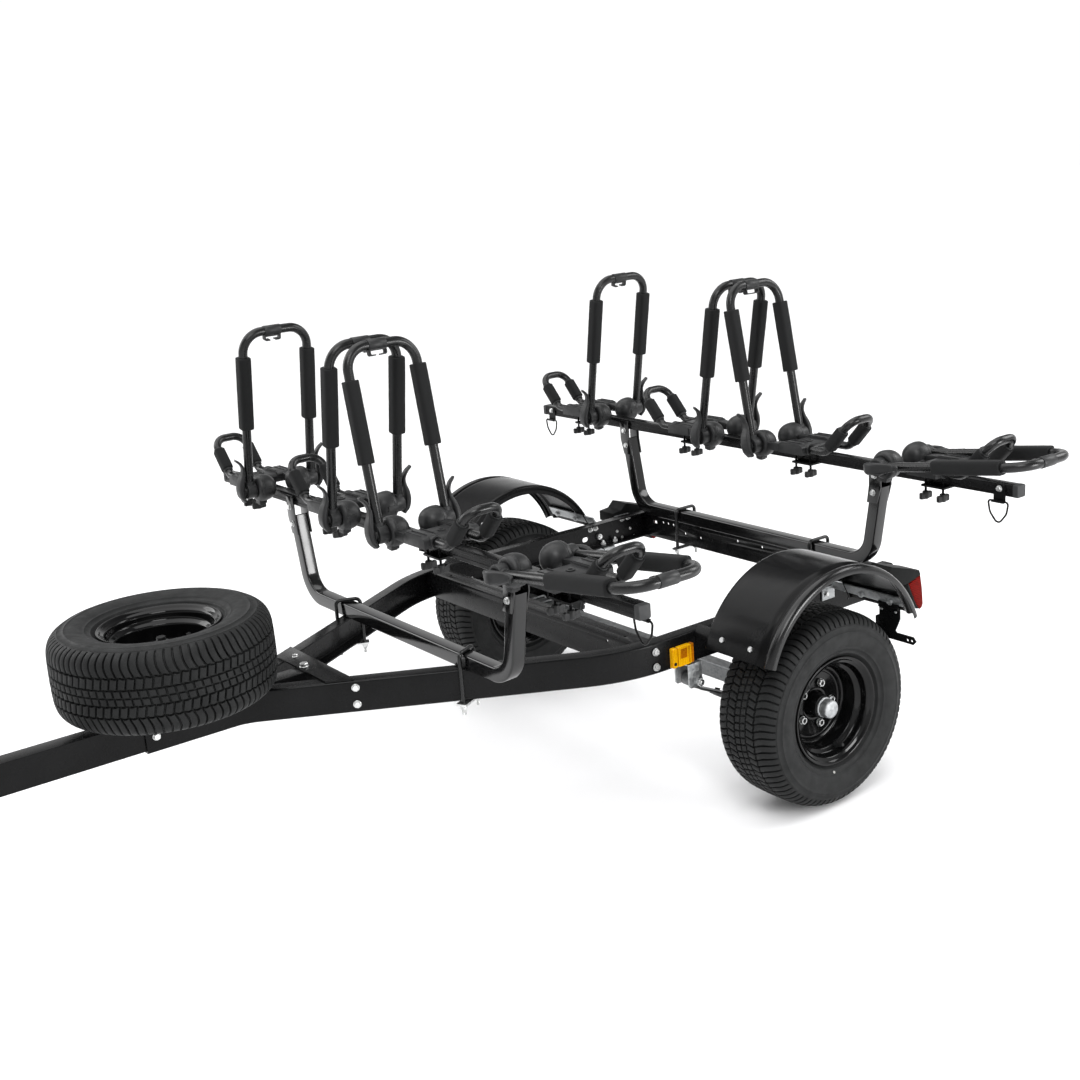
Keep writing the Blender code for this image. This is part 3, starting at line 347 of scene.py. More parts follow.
def revolve(profile, axis, sides=48, centre=(0, 0, 0), closed=True):
    """A profile of (radius, height) turned about an axis; radius 0 makes a pole."""
    m = Mesh()
    rings = []
    c = Vector(centre)
    for r, h in profile:
        start = len(m.v)
        count = 1 if r == 0 else sides
        for k in range(count):
            a = 2 * PI * k / sides
            m.v.append(c + set_axis(axis, r * math.cos(a), r * math.sin(a), h))
        rings.append((start, count))
    pairs = list(zip(rings, rings[1:] + rings[:1])) if closed else list(zip(rings, rings[1:]))
    for (a, na), (b, nb) in pairs:
        if na == nb == 1:
            continue
        for k in range(sides):
            j = (k + 1) % sides
            face = []
            for i in (a + k % na, a + j % na, b + j % nb, b + k % nb):
                if i not in face:
                    face.append(i)
            m.f.append(face)
    return m


def circle(r, sides, phase=0.0, cu=0.0, cv=0.0):
    return [
        (cu + r * math.cos(2 * PI * (k + phase) / sides), cv + r * math.sin(2 * PI * (k + phase) / sides))
        for k in range(sides)
    ]


def squircle(ru, rv, sides=32, power=3.0):
    out = []
    for k in range(sides):
        a = 2 * PI * (k + 0.5) / sides
        c, s = math.cos(a), math.sin(a)
        out.append((ru * math.copysign(abs(c) ** (2 / power), c), rv * math.copysign(abs(s) ** (2 / power), s)))
    return out


def round_rect(hu, hv, r, n=4, cu=0.0, cv=0.0):
    out = []
    for qu, qv, start in ((1, 1, 0), (-1, 1, 90), (-1, -1, 180), (1, -1, 270)):
        for k in range(n + 1):
            a = math.radians(start + 90 * k / n)
            out.append((cu + qu * (hu - r) + r * math.cos(a), cv + qv * (hv - r) + r * math.sin(a)))
    return out


def fillet(points, radii, n=10):
    """The line through the points with each inner corner rounded."""
    pts = [Vector(p) for p in points]
    out = [pts[0]]
    for i in range(1, len(pts) - 1):
        p, r = pts[i], radii[i]
        a, b = (pts[i - 1] - p).normalized(), (pts[i + 1] - p).normalized()
        angle = a.angle(b)
        if r <= 0 or angle > PI - 1e-4:
            out.append(p)
            continue
        reach = r / math.tan(angle / 2)
        centre = p + (a + b).normalized() * (r / math.sin(angle / 2))
        start, end = p + a * reach, p + b * reach
        u = (start - centre).normalized()
        total = u.angle((end - centre).normalized())
        w = ((end - centre) - u * (end - centre).dot(u)).normalized()
        for k in range(n + 1):
            t = total * k / n
            out.append(centre + (u * math.cos(t) + w * math.sin(t)) * r)
    out.append(pts[-1])
    return out


def frames(path, up):
    """(side, up) at each point, square to the path, turning as little as possible."""
    out = []
    ref = Vector(up)
    for i in range(len(path)):
        before = (path[i] - path[i - 1]).normalized() if i else None
        after = (path[i + 1] - path[i]).normalized() if i + 1 < len(path) else None
        t = (before or after) if before is None or after is None else (before + after).normalized()
        v = (ref - t * ref.dot(t)).normalized()
        out.append((v.cross(t).normalized(), v))
        ref = v
    return out


def sweep(path, outline, up=(0, 0, 1), sizes=None, caps=True, inner=None):
    """The outline, or one outline for each path point, run along the path."""
    path = [Vector(p) for p in path]
    dirs = frames(path, up)

    def rings(shape):
        out = []
        for i, (p, (side, v)) in enumerate(zip(path, dirs)):
            k = sizes[i] if sizes else 1.0
            pts = shape[i] if isinstance(shape[0][0], (tuple, list)) else shape
            out.append([p + side * (a * k) + v * (b * k) for a, b in pts])
        return out

    if inner is None:
        return loft(rings(outline), caps)
    outer_rings, inner_rings = rings(outline), rings(inner)
    m = loft(outer_rings, False)
    n = len(outer_rings[0])
    bore = loft(inner_rings, False)
    bore.f = [f[::-1] for f in bore.f]
    m.add(bore)
    count = len(path)
    off = n * count
    for row, flip in ((0, False), ((count - 1) * n, True)):
        for k in range(n):
            j = (k + 1) % n
            f = [row + k, off + row + k, off + row + j, row + j]
            m.f.append(f[::-1] if flip else f)
    return m


def tube(points, radii, r, sides=20, n=10, up=(0, 0, 1), sizes=None):
    return sweep(fillet(points, radii, n), circle(r, sides), up, sizes)


def matrix_to(direction, at=(0, 0, 0), roll=0.0):
    """Turns +Z to the direction and moves the origin to the point."""
    d = Vector(direction).normalized()
    q = Vector((0, 0, 1)).rotation_difference(d)
    return Matrix.Translation(at) @ q.to_matrix().to_4x4() @ Matrix.Rotation(roll, 4, "Z")


def hex_bolt(size=0.0130, head=0.0055, washer=0.0085, roll=0.3, button=False):
    """Washer and head standing on the face they clamp, along +Z."""
    m = Mesh()
    if washer:
        m.add(revolve(((0, 0), (washer, 0), (washer, 0.0011), (washer - 0.0005, 0.0015), (0, 0.0015)), AZ, 24, closed=False))
    base = 0.0012 if washer else 0.0
    r = size / math.sqrt(3)
    if button:
        m.add(revolve(((0, base), (r, base), (r, base + head * 0.35), (r * 0.82, base + head * 0.8), (r * 0.45, base + head), (0, base + head)), AZ, 24, closed=False))
        return m
    hexagon = circle(r, 6)
    top = [(u * 0.90, v * 0.90) for u, v in hexagon]
    m.add(loft([[Vector((u, v, base)) for u, v in hexagon], [Vector((u, v, base + head * 0.82)) for u, v in hexagon], [Vector((u, v, base + head)) for u, v in top]]), Matrix.Rotation(roll, 4, "Z"))
    return m


def nut_and_end(size=0.0130, height=0.0080, rod=0.0040, beyond=0.006, washer=0.0095, roll=0.3):
    m = hex_bolt(size, height, washer, roll)
    m.add(threaded(rod, 0.0012 + height - 0.001, 0.0012 + height + beyond))
    return m


def threaded(r, low, high, pitch=0.00125, sides=14):
    """A threaded rod along +Z, its crests as rings."""
    profile = [(0, low)]
    z = low
    while z < high - pitch * 0.6:
        profile += [(r * 0.90, z), (r, z + pitch * 0.5)]
        z += pitch
    profile += [(r * 0.88, high), (0, high)]
    return revolve(profile, AZ, sides, closed=False)


def smoothed(points, n=6):
    """A Catmull-Rom line through 2-D points."""
    pts = [Vector((*p, 0.0)) for p in points]
    pts = [pts[0] * 2 - pts[1]] + pts + [pts[-1] * 2 - pts[-2]]
    out = []
    for i in range(1, len(pts) - 2):
        a, b, c, d = pts[i - 1 : i + 3]
        for k in range(n):
            t = k / n
            q = 0.5 * ((2 * b) + (c - a) * t + (2 * a - 5 * b + 4 * c - d) * t * t + (3 * b - a - 3 * c + d) * t**3)
            out.append((q.x, q.y))
    out.append((pts[-2].x, pts[-2].y))
    return out


MESHES = {}


def build(name, shape, paints, bevel=0.0, segments=2, sharp=38.0, limit=30.0, subdivide=0):
    """Turns gathered shapes, or (shape, paint number) pairs, into one mesh."""
    groups = shape if isinstance(shape, (list, tuple)) else [(shape, 0)]
    bm = bmesh.new()
    for s, slot in groups:
        verts = [bm.verts.new(p) for p in s.v]
        for f in s.f:
            corners = [verts[i] for i in dict.fromkeys(f)]
            if len(corners) < 3:
                continue
            try:
                face = bm.faces.new(corners)
            except ValueError:
                continue
            face.material_index = slot
    bmesh.ops.remove_doubles(bm, verts=bm.verts[:], dist=1e-6)
    bmesh.ops.recalc_face_normals(bm, faces=bm.faces[:])
    if bevel:
        edges = [e for e in bm.edges if len(e.link_faces) == 2 and e.calc_face_angle(0.0) > math.radians(limit)]
        bmesh.ops.bevel(bm, geom=edges, offset=bevel, offset_type="OFFSET", segments=segments, profile=0.6, affect="EDGES", clamp_overlap=True)
    me = bpy.data.meshes.new(name)
    bm.to_mesh(me)
    bm.free()
    for paint in paints if isinstance(paints, (list, tuple)) else [paints]:
        me.materials.append(paint)
    me.shade_smooth()
    me.set_sharp_from_angle(angle=math.radians(sharp))
    return me


def put(name, mesh, body, at=(0, 0, 0), turn=None, replaces=(), raw=False):
    """Places a mesh given in the trailer's own frame, and lets it ride on a body."""
    o = bpy.data.objects.new(name, mesh)
    bpy.context.scene.collection.objects.link(o)
    o.matrix_world = Matrix.Translation(SHIFT + Vector(at)) @ (turn or Matrix.Identity(4))
    bpy.context.view_layer.update()
    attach(o, body)
    if replaces:
        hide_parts(*replaces)
    return o


def boolean(mesh, cutter, name):
    """The mesh with the cutter's shape taken out of it."""
    a = bpy.data.objects.new("base_work", mesh)
    b = bpy.data.objects.new("cut_work", cutter)
    for o in (a, b):
        bpy.context.scene.collection.objects.link(o)
    m = a.modifiers.new("cut", "BOOLEAN")
    m.operation, m.solver, m.object = "DIFFERENCE", "EXACT", b
    graph = bpy.context.evaluated_depsgraph_get()
    graph.update()
    out = bpy.data.meshes.new_from_object(a.evaluated_get(graph))
    out.name = name
    for o in (a, b):
        bpy.data.objects.remove(o, do_unlink=True)
    return out


def left_right(shape):
    return together(shape, shape.mirrored(AY))


def refined(node, paint, body="frame", bevel=0.0008, segments=2, keep=None, extra=(), paints=None):
    """The node's own solid with rounded edges, plus extra shapes as (shape, paint number)."""
    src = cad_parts[node]
    bm = bmesh.new()
    bm.from_mesh(src.data)
    bmesh.ops.transform(bm, matrix=Matrix.Translation(-SHIFT) @ src.matrix_world, verts=bm.verts[:])
    bmesh.ops.remove_doubles(bm, verts=bm.verts[:], dist=1e-5)
    bmesh.ops.dissolve_limit(bm, angle_limit=math.radians(0.8), verts=bm.verts[:], edges=bm.edges[:])
    bmesh.ops.recalc_face_normals(bm, faces=bm.faces[:])
    if bevel:
        edges = [e for e in bm.edges if len(e.link_faces) == 2 and e.calc_face_angle(0.0) > math.radians(33)]
        bmesh.ops.bevel(bm, geom=edges, offset=bevel, offset_type="OFFSET", segments=segments, profile=0.6, affect="EDGES", clamp_overlap=True)
    base = Mesh()
    bm.verts.index_update()
    base.v = [v.co.copy() for v in bm.verts]
    base.f = [[v.index for v in f.verts] for f in bm.faces]
    bm.free()
    mesh = build(node + "_look", [(base, 0), *extra], paints or [paint], sharp=36.0)
    return put(node + "_look", mesh, body, replaces=(node,))


# ------------------------------------------------------------------ wheels
PITCHES = 82
# position in the pitch, groove's share of its depth, how far the rib's back is rounded down there
TREAD_STEPS = ((0.0, 0, 1.0), (0.055, 1, 0), (0.225, 1, 0), (0.280, 0, 1.0), (0.40, 0, 0.25), (0.64, 0, 0.0), (0.88, 0, 0.25))
HALF = smoothed(
    (
        (0.0, 0.2594), (0.030, 0.2590), (0.060, 0.2572), (0.078, 0.2520), (0.090, 0.2425),
        (0.0972, 0.2300), (0.1015, 0.2150), (0.1025, 0.2000), (0.0992, 0.1780), (0.0910, 0.1600),
        (0.0825, 0.1490), (0.0775, 0.1435),
    ),
    8,
)


def half_at(axis, value):
    """(s, r, normal) where the half profile passes the value of s (0) or r (1)."""
    for (a, b) in zip(HALF, HALF[1:]):
        lo, hi = a[axis], b[axis]
        if (lo - value) * (hi - value) <= 0 and lo != hi:
            t = (value - lo) / (hi - lo)
            d = Vector((b[0] - a[0], b[1] - a[1])).normalized()
            return a[0] + (b[0] - a[0]) * t, a[1] + (b[1] - a[1]) * t, Vector((-d.y, d.x))
    raise ValueError(value)


def tyre_rows():
    """(s, r, normal s, normal r, fixed depth, groove share, turn offset, sway) from the middle outwards."""
    rows = []

    def row(point, depth=0.0, share=0.0, offset=0.0, sway=0.0):
        s, r, n = point
        rows.append((s, r, n.x, n.y, depth, share, offset, sway))

    row(half_at(0, 0.0), 0.0052)
    row(half_at(0, 0.0013), 0.0052)
    for s, off in ((0.0026, 0.06), (0.0070, 0.09), (0.0120, 0.13), (0.0164, 0.17)):
        row(half_at(0, s), 0.0, 0.75, off)
    row(half_at(0, 0.0176), 0.0070, 0.0, 0.19)
    row(half_at(0, 0.0204), 0.0070, 0.0, 0.50, 0.0012)
    for s, off in ((0.0216, 0.52), (0.0270, 0.47), (0.0340, 0.39), (0.0400, 0.32), (0.0440, 0.28)):
        row(half_at(0, s), 0.0, 0.90, off, 0.0012)
    row(half_at(0, 0.0452), 0.0072, 0.0, 0.27, 0.0018)
    row(half_at(0, 0.0482), 0.0072, 0.0, 0.44, 0.0022)
    for s, off, share in (
        (0.0494, 0.45, 1.0), (0.0540, 0.57, 1.0), (0.0590, 0.69, 1.0), (0.0650, 0.80, 1.0), (0.0710, 0.87, 1.0), (0.0770, 0.91, 0.95),
        (0.0830, 0.91, 0.90), (0.0880, 0.88, 0.82), (0.0918, 0.85, 0.74), (0.0945, 0.81, 0.66),
    ):
        row(half_at(0, s), 0.0, share, off, 0.0012 if s < 0.052 else 0.0)
    row(half_at(1, 0.2320), 0.0, 0.45, 0.78)
    row(half_at(1, 0.2306), 0.0, 0.0, 0.76)
    for r, rise in (
        (0.2290, 0), (0.2286, 0.0007), (0.2274, 0.0007), (0.2270, 0), (0.2200, 0), (0.2130, 0),
        (0.2126, 0.0005), (0.2116, 0.0005), (0.2112, 0), (0.2030, 0), (0.1930, 0), (0.1820, 0),
        (0.1740, 0), (0.1680, 0), (0.1676, 0.0005), (0.1666, 0.0005), (0.1662, 0), (0.1600, 0), (0.1556, 0),
        (0.1551, 0.0012), (0.1524, 0.0012), (0.1518, 0), (0.1470, 0), (0.1436, 0),
    ):
        row(half_at(1, r), -rise, 0.0, 0.72)
    rows.append((0.0748, 0.1400, 0, 0, 0, 0, 0.72, 0))
    rows.append((0.0740, 0.1290, 0, 0, 0, 0, 0.72, 0))
    return rows


def tyre_mesh():
    rows = tyre_rows()
    full = [(-1, r) for r in reversed(rows[1:])] + [(1, r) for r in rows]
    m = Mesh()
    columns = PITCHES * len(TREAD_STEPS)
    for sign, (s, r, ns, nr, depth, share, offset, sway) in full:
        for p in range(PITCHES):
            for u, low, drop in TREAD_STEPS:
                turn = p + u + sign * offset
                d = max(depth, (low * 0.0080 + drop * 0.0007) * share) if depth >= 0 else depth
                at = s + sway * math.sin(2 * PI * turn)
                a = 2 * PI * turn / PITCHES
                rad = r - nr * d
                m.v.append(Vector((rad * math.cos(a), sign * (at - ns * d), rad * math.sin(a))))
    count = len(full)
    for i in range(count):
        a, b = i * columns, ((i + 1) % count) * columns
        for k in range(columns):
            j = (k + 1) % columns
            m.f.append([a + k, a + j, b + j, b + k])
    return build("tyre_look", m, RUBBER, sharp=58.0)


RIM_PROFILE = (
    # outer face, from the flange in to the bore
    (0.1440, 0.0832), (0.1436, 0.0850), (0.1418, 0.0858), (0.1385, 0.0845), (0.1345, 0.0805), (0.1325, 0.0785),
    (0.1275, 0.0768), (0.1248, 0.0745), (0.1236, 0.0690), (0.1226, 0.0610), (0.1212, 0.0560), (0.1185, 0.0530),
    (0.1105, 0.0500), (0.1085, 0.0475), (0.1078, 0.0420), (0.1066, 0.0130), (0.1052, 0.0090), (0.1020, 0.0072),
    (0.0965, 0.0070), (0.0955, 0.0086), (0.0940, 0.0094), (0.0880, 0.0094), (0.0866, 0.0086), (0.0856, 0.0070),
    (0.0800, 0.0066), (0.0460, 0.0066), (0.0440, 0.0076), (0.0425, 0.0098), (0.0385, 0.0102), (0.0362, 0.0092),
    (0.0352, 0.0070), (0.0350, 0.0024),
    # inner face, back out to the other flange
    (0.1020, 0.0022), (0.1034, -0.0032), (0.1050, -0.0200), (0.1075, -0.0290), (0.1190, -0.0410), (0.1222, -0.0480),
    (0.1230, -0.0690), (0.1260, -0.0760), (0.1325, -0.0785), (0.1345, -0.0805), (0.1385, -0.0845), (0.1418, -0.0858),
    (0.1436, -0.0850), (0.1440, -0.0832), (0.1440, -0.0795), (0.1300, -0.0765), (0.1268, -0.0740), (0.1265, -0.0520),
    # tyre side of the well
    (0.1230, -0.0450), (0.1120, -0.0320), (0.1100, -0.0250), (0.1120, 0.0470), (0.1230, 0.0540), (0.1265, 0.0590),
    (0.1268, 0.0740), (0.1300, 0.0765), (0.1440, 0.0795),
)


def lug_nut():
    """Open cone-seat nut standing along +Z, and the end of its stud."""
    r = 0.0190 / math.sqrt(3)
    h = circle(r, 6)
    m = revolve(((0, 0), (0.0086, 0), (0.0108, 0.0040), (0.0108, 0.0048), (0, 0.0048)), AZ, 20, closed=False)
    m.add(
        loft(
            [[Vector((u * k, v * k, z)) for u, v in h] for z, k in ((0.0044, 1.0), (0.0104, 1.0), (0.0114, 0.93))]
        )
    )
    m.add(revolve(((0.0058, 0.0106), (0.0092, 0.0106), (0.0088, 0.0122), (0.0078, 0.0130), (0.0066, 0.0130), (0.0058, 0.0122)), AZ, 24))
    return m, threaded(0.0056, 0.0100, 0.0126, 0.0013, 18)


def rim_meshes():
    disc = revolve(RIM_PROFILE, AY, 96)
    nuts, studs = Mesh(), Mesh()
    for i in range(5):
        a = math.radians(39 + 72 * i)
        at = Vector((0.05715 * math.cos(a), 0.0067, 0.05715 * math.sin(a)))
        one, end = lug_nut()
        nuts.add(one, matrix_to((0, 1, 0), at, roll=a))
        studs.add(end, matrix_to((0, 1, 0), at, roll=a))
    stem = Mesh()
    a = math.radians(255)
    base = Vector((0.1150 * math.cos(a), 0.0500, 0.1150 * math.sin(a)))
    stem.add(
        revolve(
            ((0, 0), (0.0085, 0), (0.0085, 0.0030), (0.0060, 0.0060), (0.0055, 0.0200), (0.0048, 0.0210), (0.0048, 0.0290), (0.0040, 0.0300), (0, 0.0300)),
            AZ, 16, closed=False,
        ),
        matrix_to((-0.30 * math.cos(a), 1.0, -0.30 * math.sin(a)), base),
    )
    return disc, nuts, studs, stem


TYRE_MESH = tyre_mesh()
RIM_DISC, LUGS, STUDS, STEM = rim_meshes()
RIM_MESH = build("rim_look", [(RIM_DISC, 0), (STEM, 1)], [RIM, RUBBER], sharp=48.0)
LUG_MESH = build("lug_nuts", [(LUGS, 0), (STUDS, 1)], [ZINC, SATIN], sharp=34.0)
HUB_SHAPE = revolve(
    (
        (0, 0.0708), (0.0110, 0.0707), (0.0195, 0.0704), (0.0222, 0.0694), (0.0238, 0.0670), (0.0243, 0.0632),
        (0.0245, 0.0600), (0.0245, 0.0470), (0.0262, 0.0462), (0.0272, 0.0448), (0.0272, 0.0425), (0.0262, 0.0412),
        (0.0268, 0.0400), (0.0300, 0.0385), (0.0322, 0.0200), (0.0328, 0.0017), (0.0690, 0.0017), (0.0700, 0.0008),
        (0.0700, -0.0050), (0.0690, -0.0060), (0.0380, -0.0082), (0.0352, -0.0110), (0.0345, -0.0610), (0.0335, -0.0620),
        (0.0172, -0.0620), (0.0172, 0.0455), (0, 0.0460),
    ),
    AY, 48, closed=False,
)
HUB_TAB = prism(((-0.004, 0.0), (0.004, 0.0), (0.003, 0.0075), (-0.003, 0.0075)), AY, 0.0425, 0.0445)
HUB_SHAPE.add(Mesh().add(HUB_TAB, Matrix.Rotation(math.radians(-52), 4, "Y") @ Matrix.Translation((0, 0, 0.0262))))
HUB_MESH = build("hub_look", HUB_SHAPE, [GALV, SATIN], sharp=40.0)
for face in HUB_MESH.polygons:
    if face.center.y < 0.0408:
        face.material_index = 1

for side, sign in (("left", 1), ("right", -1)):
    at = (0.0, sign * WHEEL_Y, WHEEL_Z)
    turn = Matrix.Identity(4) if sign > 0 else Matrix.Rotation(PI, 4, "Z")
    body = f"wheel_{side}"
    put(f"tyre_{side}_look", TYRE_MESH, body, at, turn, (f"tyre_{side}",))
    put(f"rim_{side}_look", RIM_MESH, body, at, turn, (f"rim_{side}",))
    put(f"hub_{side}_look", HUB_MESH, body, at, turn, (f"hub_{side}",))
    put(f"lug_nuts_{side}", LUG_MESH, body, at, turn)
SPARE_TURN = Matrix.Rotation(PI / 2, 4, "X")
put("spare_tyre_look", TYRE_MESH, "frame", SPARE_AT, SPARE_TURN, ("spare_tyre",))
put("spare_rim_look", RIM_MESH, "frame", SPARE_AT, SPARE_TURN, ("spare_rim",))

# balance dot on the near tyre's side wall
CHALK = moulded("chalk_dot", (0.20, 0.20, 0.19), (0.34, 0.34, 0.32), 0.7, 0.85)
dot = revolve(((0, -0.0004), (0.0040, -0.0004), (0.0036, 0.0005), (0.0020, 0.0008), (0, 0.0009)), AZ, 20, closed=False)
ds, dr, dn = half_at(1, 0.1610)
da = math.atan2(-0.1594, 0.021)
dot_at = Vector((dr * math.cos(da), ds, dr * math.sin(da)))
dot_dir = Vector((dn.y * math.cos(da), dn.x, dn.y * math.sin(da)))
put("balance_dot", build("balance_dot", Mesh().add(dot, matrix_to(dot_dir, dot_at)), CHALK), "wheel_left", (0, WHEEL_Y, WHEEL_Z))


# ------------------------------------------------------------------ frame
def rail_outline(low, high):
    t, z0, z1 = RAIL_T, RAIL_LOW, RAIL_TOP
    ro, ri = min(0.0065, high * 0.85, low * 0.85), min(0.0025, max(high - t, 0.0001) * 0.8)

    pts = [(low, z0 + t), (low, z0)]
    pts += [(ro + ro * math.cos(math.radians(-90 - 90 * k / 4)), z0 + ro + ro * math.sin(math.radians(-90 - 90 * k / 4))) for k in range(5)]
    pts += [(ro + ro * math.cos(math.radians(180 - 90 * k / 4)), z1 - ro + ro * math.sin(math.radians(180 - 90 * k / 4))) for k in range(5)]
    pts += [(high, z1), (high, z1 - t)]
    pts += [(t + ri + ri * math.cos(math.radians(90 + 90 * k / 3)), z1 - t - ri + ri * math.sin(math.radians(90 + 90 * k / 3))) for k in range(4)]
    pts += [(t + ri + ri * math.cos(math.radians(180 + 90 * k / 3)), z0 + t + ri + ri * math.sin(math.radians(180 + 90 * k / 3))) for k in range(4)]
    return pts


def rail_shape():
    a, b = RAIL_CORNERS[1], RAIL_CORNERS[2]
    mid = (1.2369, a[1] + (b[1] - a[1]) * (1.2369 - a[0]) / (b[0] - a[0]))
    path = fillet(
        [(*RAIL_CORNERS[0], 0), (*a, 0), (*mid, 0), (*b, 0), (*RAIL_CORNERS[3], 0)],
        (0, 0.14, 0, 0.42, 0), 16,
    )
    outlines = []
    for p, (side, _) in zip(path, frames(path, (0, 0, 1))):
        lean = abs(side.y)
        high = min(RAIL_FLANGE, max((p.y - TONGUE_W / 2 - 0.0004) / lean, 0.0040))
        low = min(RAIL_FLANGE, (p.y - 0.0003) / lean)
        outlines.append(rail_outline(low, high))
    return sweep(path, outlines)


def cutters(*shapes):
    return build("cutters", together(*shapes), PAINT)


rail_left = build("rail_left", rail_shape(), PAINT)
slot_shape = Mesh().add(prism(round_rect(0.012, 0.008, 0.0078, 5), AY, 0.49, 0.54), Matrix.Translation((-0.200, 0, 0.439)))
rail_left = boolean(
    rail_left,
    cutters(
        slot_shape,
        prism(circle(0.0040, 20, 0, 0.120, 0.452), AY, 0.49, 0.54),
        prism(circle(0.0050, 20, 0, 0.205, 0.430), AY, 0.49, 0.54),
        prism(circle(0.0045, 20, 0, 1.430, 0.449), AY, 0.02, 0.05),
    ),
    "rail_left_cut",
)


def as_shape(mesh):
    m = Mesh()
    m.v = [v.co.copy() for v in mesh.vertices]
    m.f = [list(p.vertices) for p in mesh.polygons]
    return m


RAIL_SHAPE = as_shape(rail_left)
put("rail_left_look", build("rail_left_look", RAIL_SHAPE, PAINT, sharp=40.0), "frame", replaces=("frame_rail_left",))
put("rail_right_look", build("rail_right_look", RAIL_SHAPE.mirrored(AY), PAINT, sharp=40.0), "frame", replaces=("frame_rail_right",))

refined("tongue_tube", PAINT, bevel=0.0012, segments=3)
refined("front_crossmember", PAINT, bevel=0.0008)
rear_cross_look = refined("rear_crossmember", PAINT, bevel=0.0008)
rear_holes = cutters(
    prism(circle(0.0045, 20, 0, -0.297, 0.4448), AX, -0.47, -0.42),
    prism(circle(0.0042, 20, 0, 0.0535, 0.4638), AX, -0.47, -0.42),
    prism(circle(0.0042, 20, 0, -0.0535, 0.4638), AX, -0.47, -0.42),
    prism(circle(0.0045, 20, 0, 0.297, 0.4448), AX, -0.47, -0.42),
)
rear_cross_look.data = boolean(rear_cross_look.data, rear_holes, "rear_crossmember_cut")
refined("tongue_gusset", PAINT, bevel=0.0012)

# bolts through the frame: heads outside, nuts with thread ends inside
bolts = Mesh()


def bolt(at, direction, size=0.0130, head=0.0055, washer=0.0085, roll=0.3, button=False):
    bolts.add(hex_bolt(size, head, washer, roll, button), matrix_to(direction, at))


def nut(at, direction, size=0.0130, height=0.0070, rod=0.0040, beyond=0.006, roll=0.1):
    bolts.add(nut_and_end(size, height, rod, beyond, 0.0090, roll), matrix_to(direction, at))


NOSE = Vector((0.5137, 0.8580, 0))  # outward from the left rail's slanted stretch
for s in (-1, 1):
    inner, outer = s * (0.5185 - RAIL_T), s * 0.5185
    # front crossmember and rear crossmember to the rails
    for x, z in ((0.388, 0.468), (0.388, 0.428)):
        bolt((x, outer, z), (0, s, 0), 0.0150, 0.0065, 0.0100)
    for x, z in ((-0.455, 0.466), (-0.455, 0.430)):
        bolt((x, outer, z), (0, s, 0), 0.0130, 0.0055, 0.0085)
        nut((x, inner - s * 0.0002, z), (0, -s, 0))
    # spring hangers up through the lower flange
    for x in (0.262, 0.312, -0.262, -0.312):
        nut((x, s * 0.500, RAIL_LOW + RAIL_T), (0, 0, 1), 0.0150, 0.0080, 0.0048, 0.0070)
    # side brackets and lamp
    for x, z in ((0.222, 0.469), (0.244, 0.469), (-0.222, 0.469), (-0.244, 0.469), (-0.357, 0.476), (-0.383, 0.476)):
        nut((x, inner, z), (0, -s, 0), 0.0115, 0.0060, 0.0032, 0.0050)
    for x, z in ((0.222, 0.469), (-0.222, 0.469)):
        bolt((x, outer + s * 0.0043, z), (0, s, 0), 0.0115, 0.0048, 0.0072)
    for x, z in ((-0.334, 0.439), (-0.391, 0.437), (-0.354, 0.414), (-0.406, 0.408)):
        bolt((x, inner, z), (0, -s, 0), 0.0080, 0.0034, 0.0055, button=True)
    # nose of the frame to the tongue
    y = 0.030 + 0.5974 * (1.2837 - 1.048)
    for z in (0.472, 0.429):
        bolts.add(hex_bolt(0.0150, 0.0065, 0.0100), matrix_to((NOSE.x, s * NOSE.y, 0), (1.0482, s * (y + 0.0002), z)))
    for x, z in ((1.405, 0.470), (1.504, 0.446)):
        bolt((x, s * 0.0301, z), (0, s, 0), 0.0150, 0.0065, 0.0100)
    # large nut behind the side bracket
    nut((-0.253, inner, 0.440), (0, -s, 0), 0.0190, 0.0100, 0.0055, 0.0060)
# gusset strip: one large bolt through the tongue, a small one in the far rail's flange
bolt((1.0940, -0.0030, 0.4953), (0, 0, 1), 0.0190, 0.0085, 0.0120)
bolt((1.0755, -0.0870, 0.4953), (0, 0, 1), 0.0115, 0.0050, 0.0078)
put("frame_bolts", build("frame_bolts", bolts, ZINC, sharp=30.0), "frame")


# ------------------------------------------------------------------ risers
def riser_shape():
    z = RAIL_TOP + 0.0003 + 0.01905
    tan_tilt = math.tan(math.radians(10.5))
    foot = 0.530 - (0.700 - z) * tan_tilt
    end_y = 0.530 + (0.736 - 0.700) * tan_tilt
    path = fillet([(0, -end_y, 0.736), (0, -foot, z), (0, foot, z), (0, end_y, 0.736)], (0, 0.078, 0.078, 0), 18)
    h = 0.01905
    # walls pinched a little where the tube is bent
    outlines, bores = [], []
    for p in path:
        near = max(0.0, 1.0 - abs(math.hypot(abs(p.y) - foot * 0.985, p.z - z) - 0.0) / 0.062)
        k = 1.0 - 0.045 * near
        outlines.append([(u * (1.0 + 0.018 * near), v * k) for u, v in round_rect(h, h, 0.0050, 5)])
        bores.append([(u, v * k) for u, v in round_rect(h - 0.0025, h - 0.0025, 0.0030, 5)])
    return sweep(path, outlines, up=(1, 0, 0), inner=bores), end_y


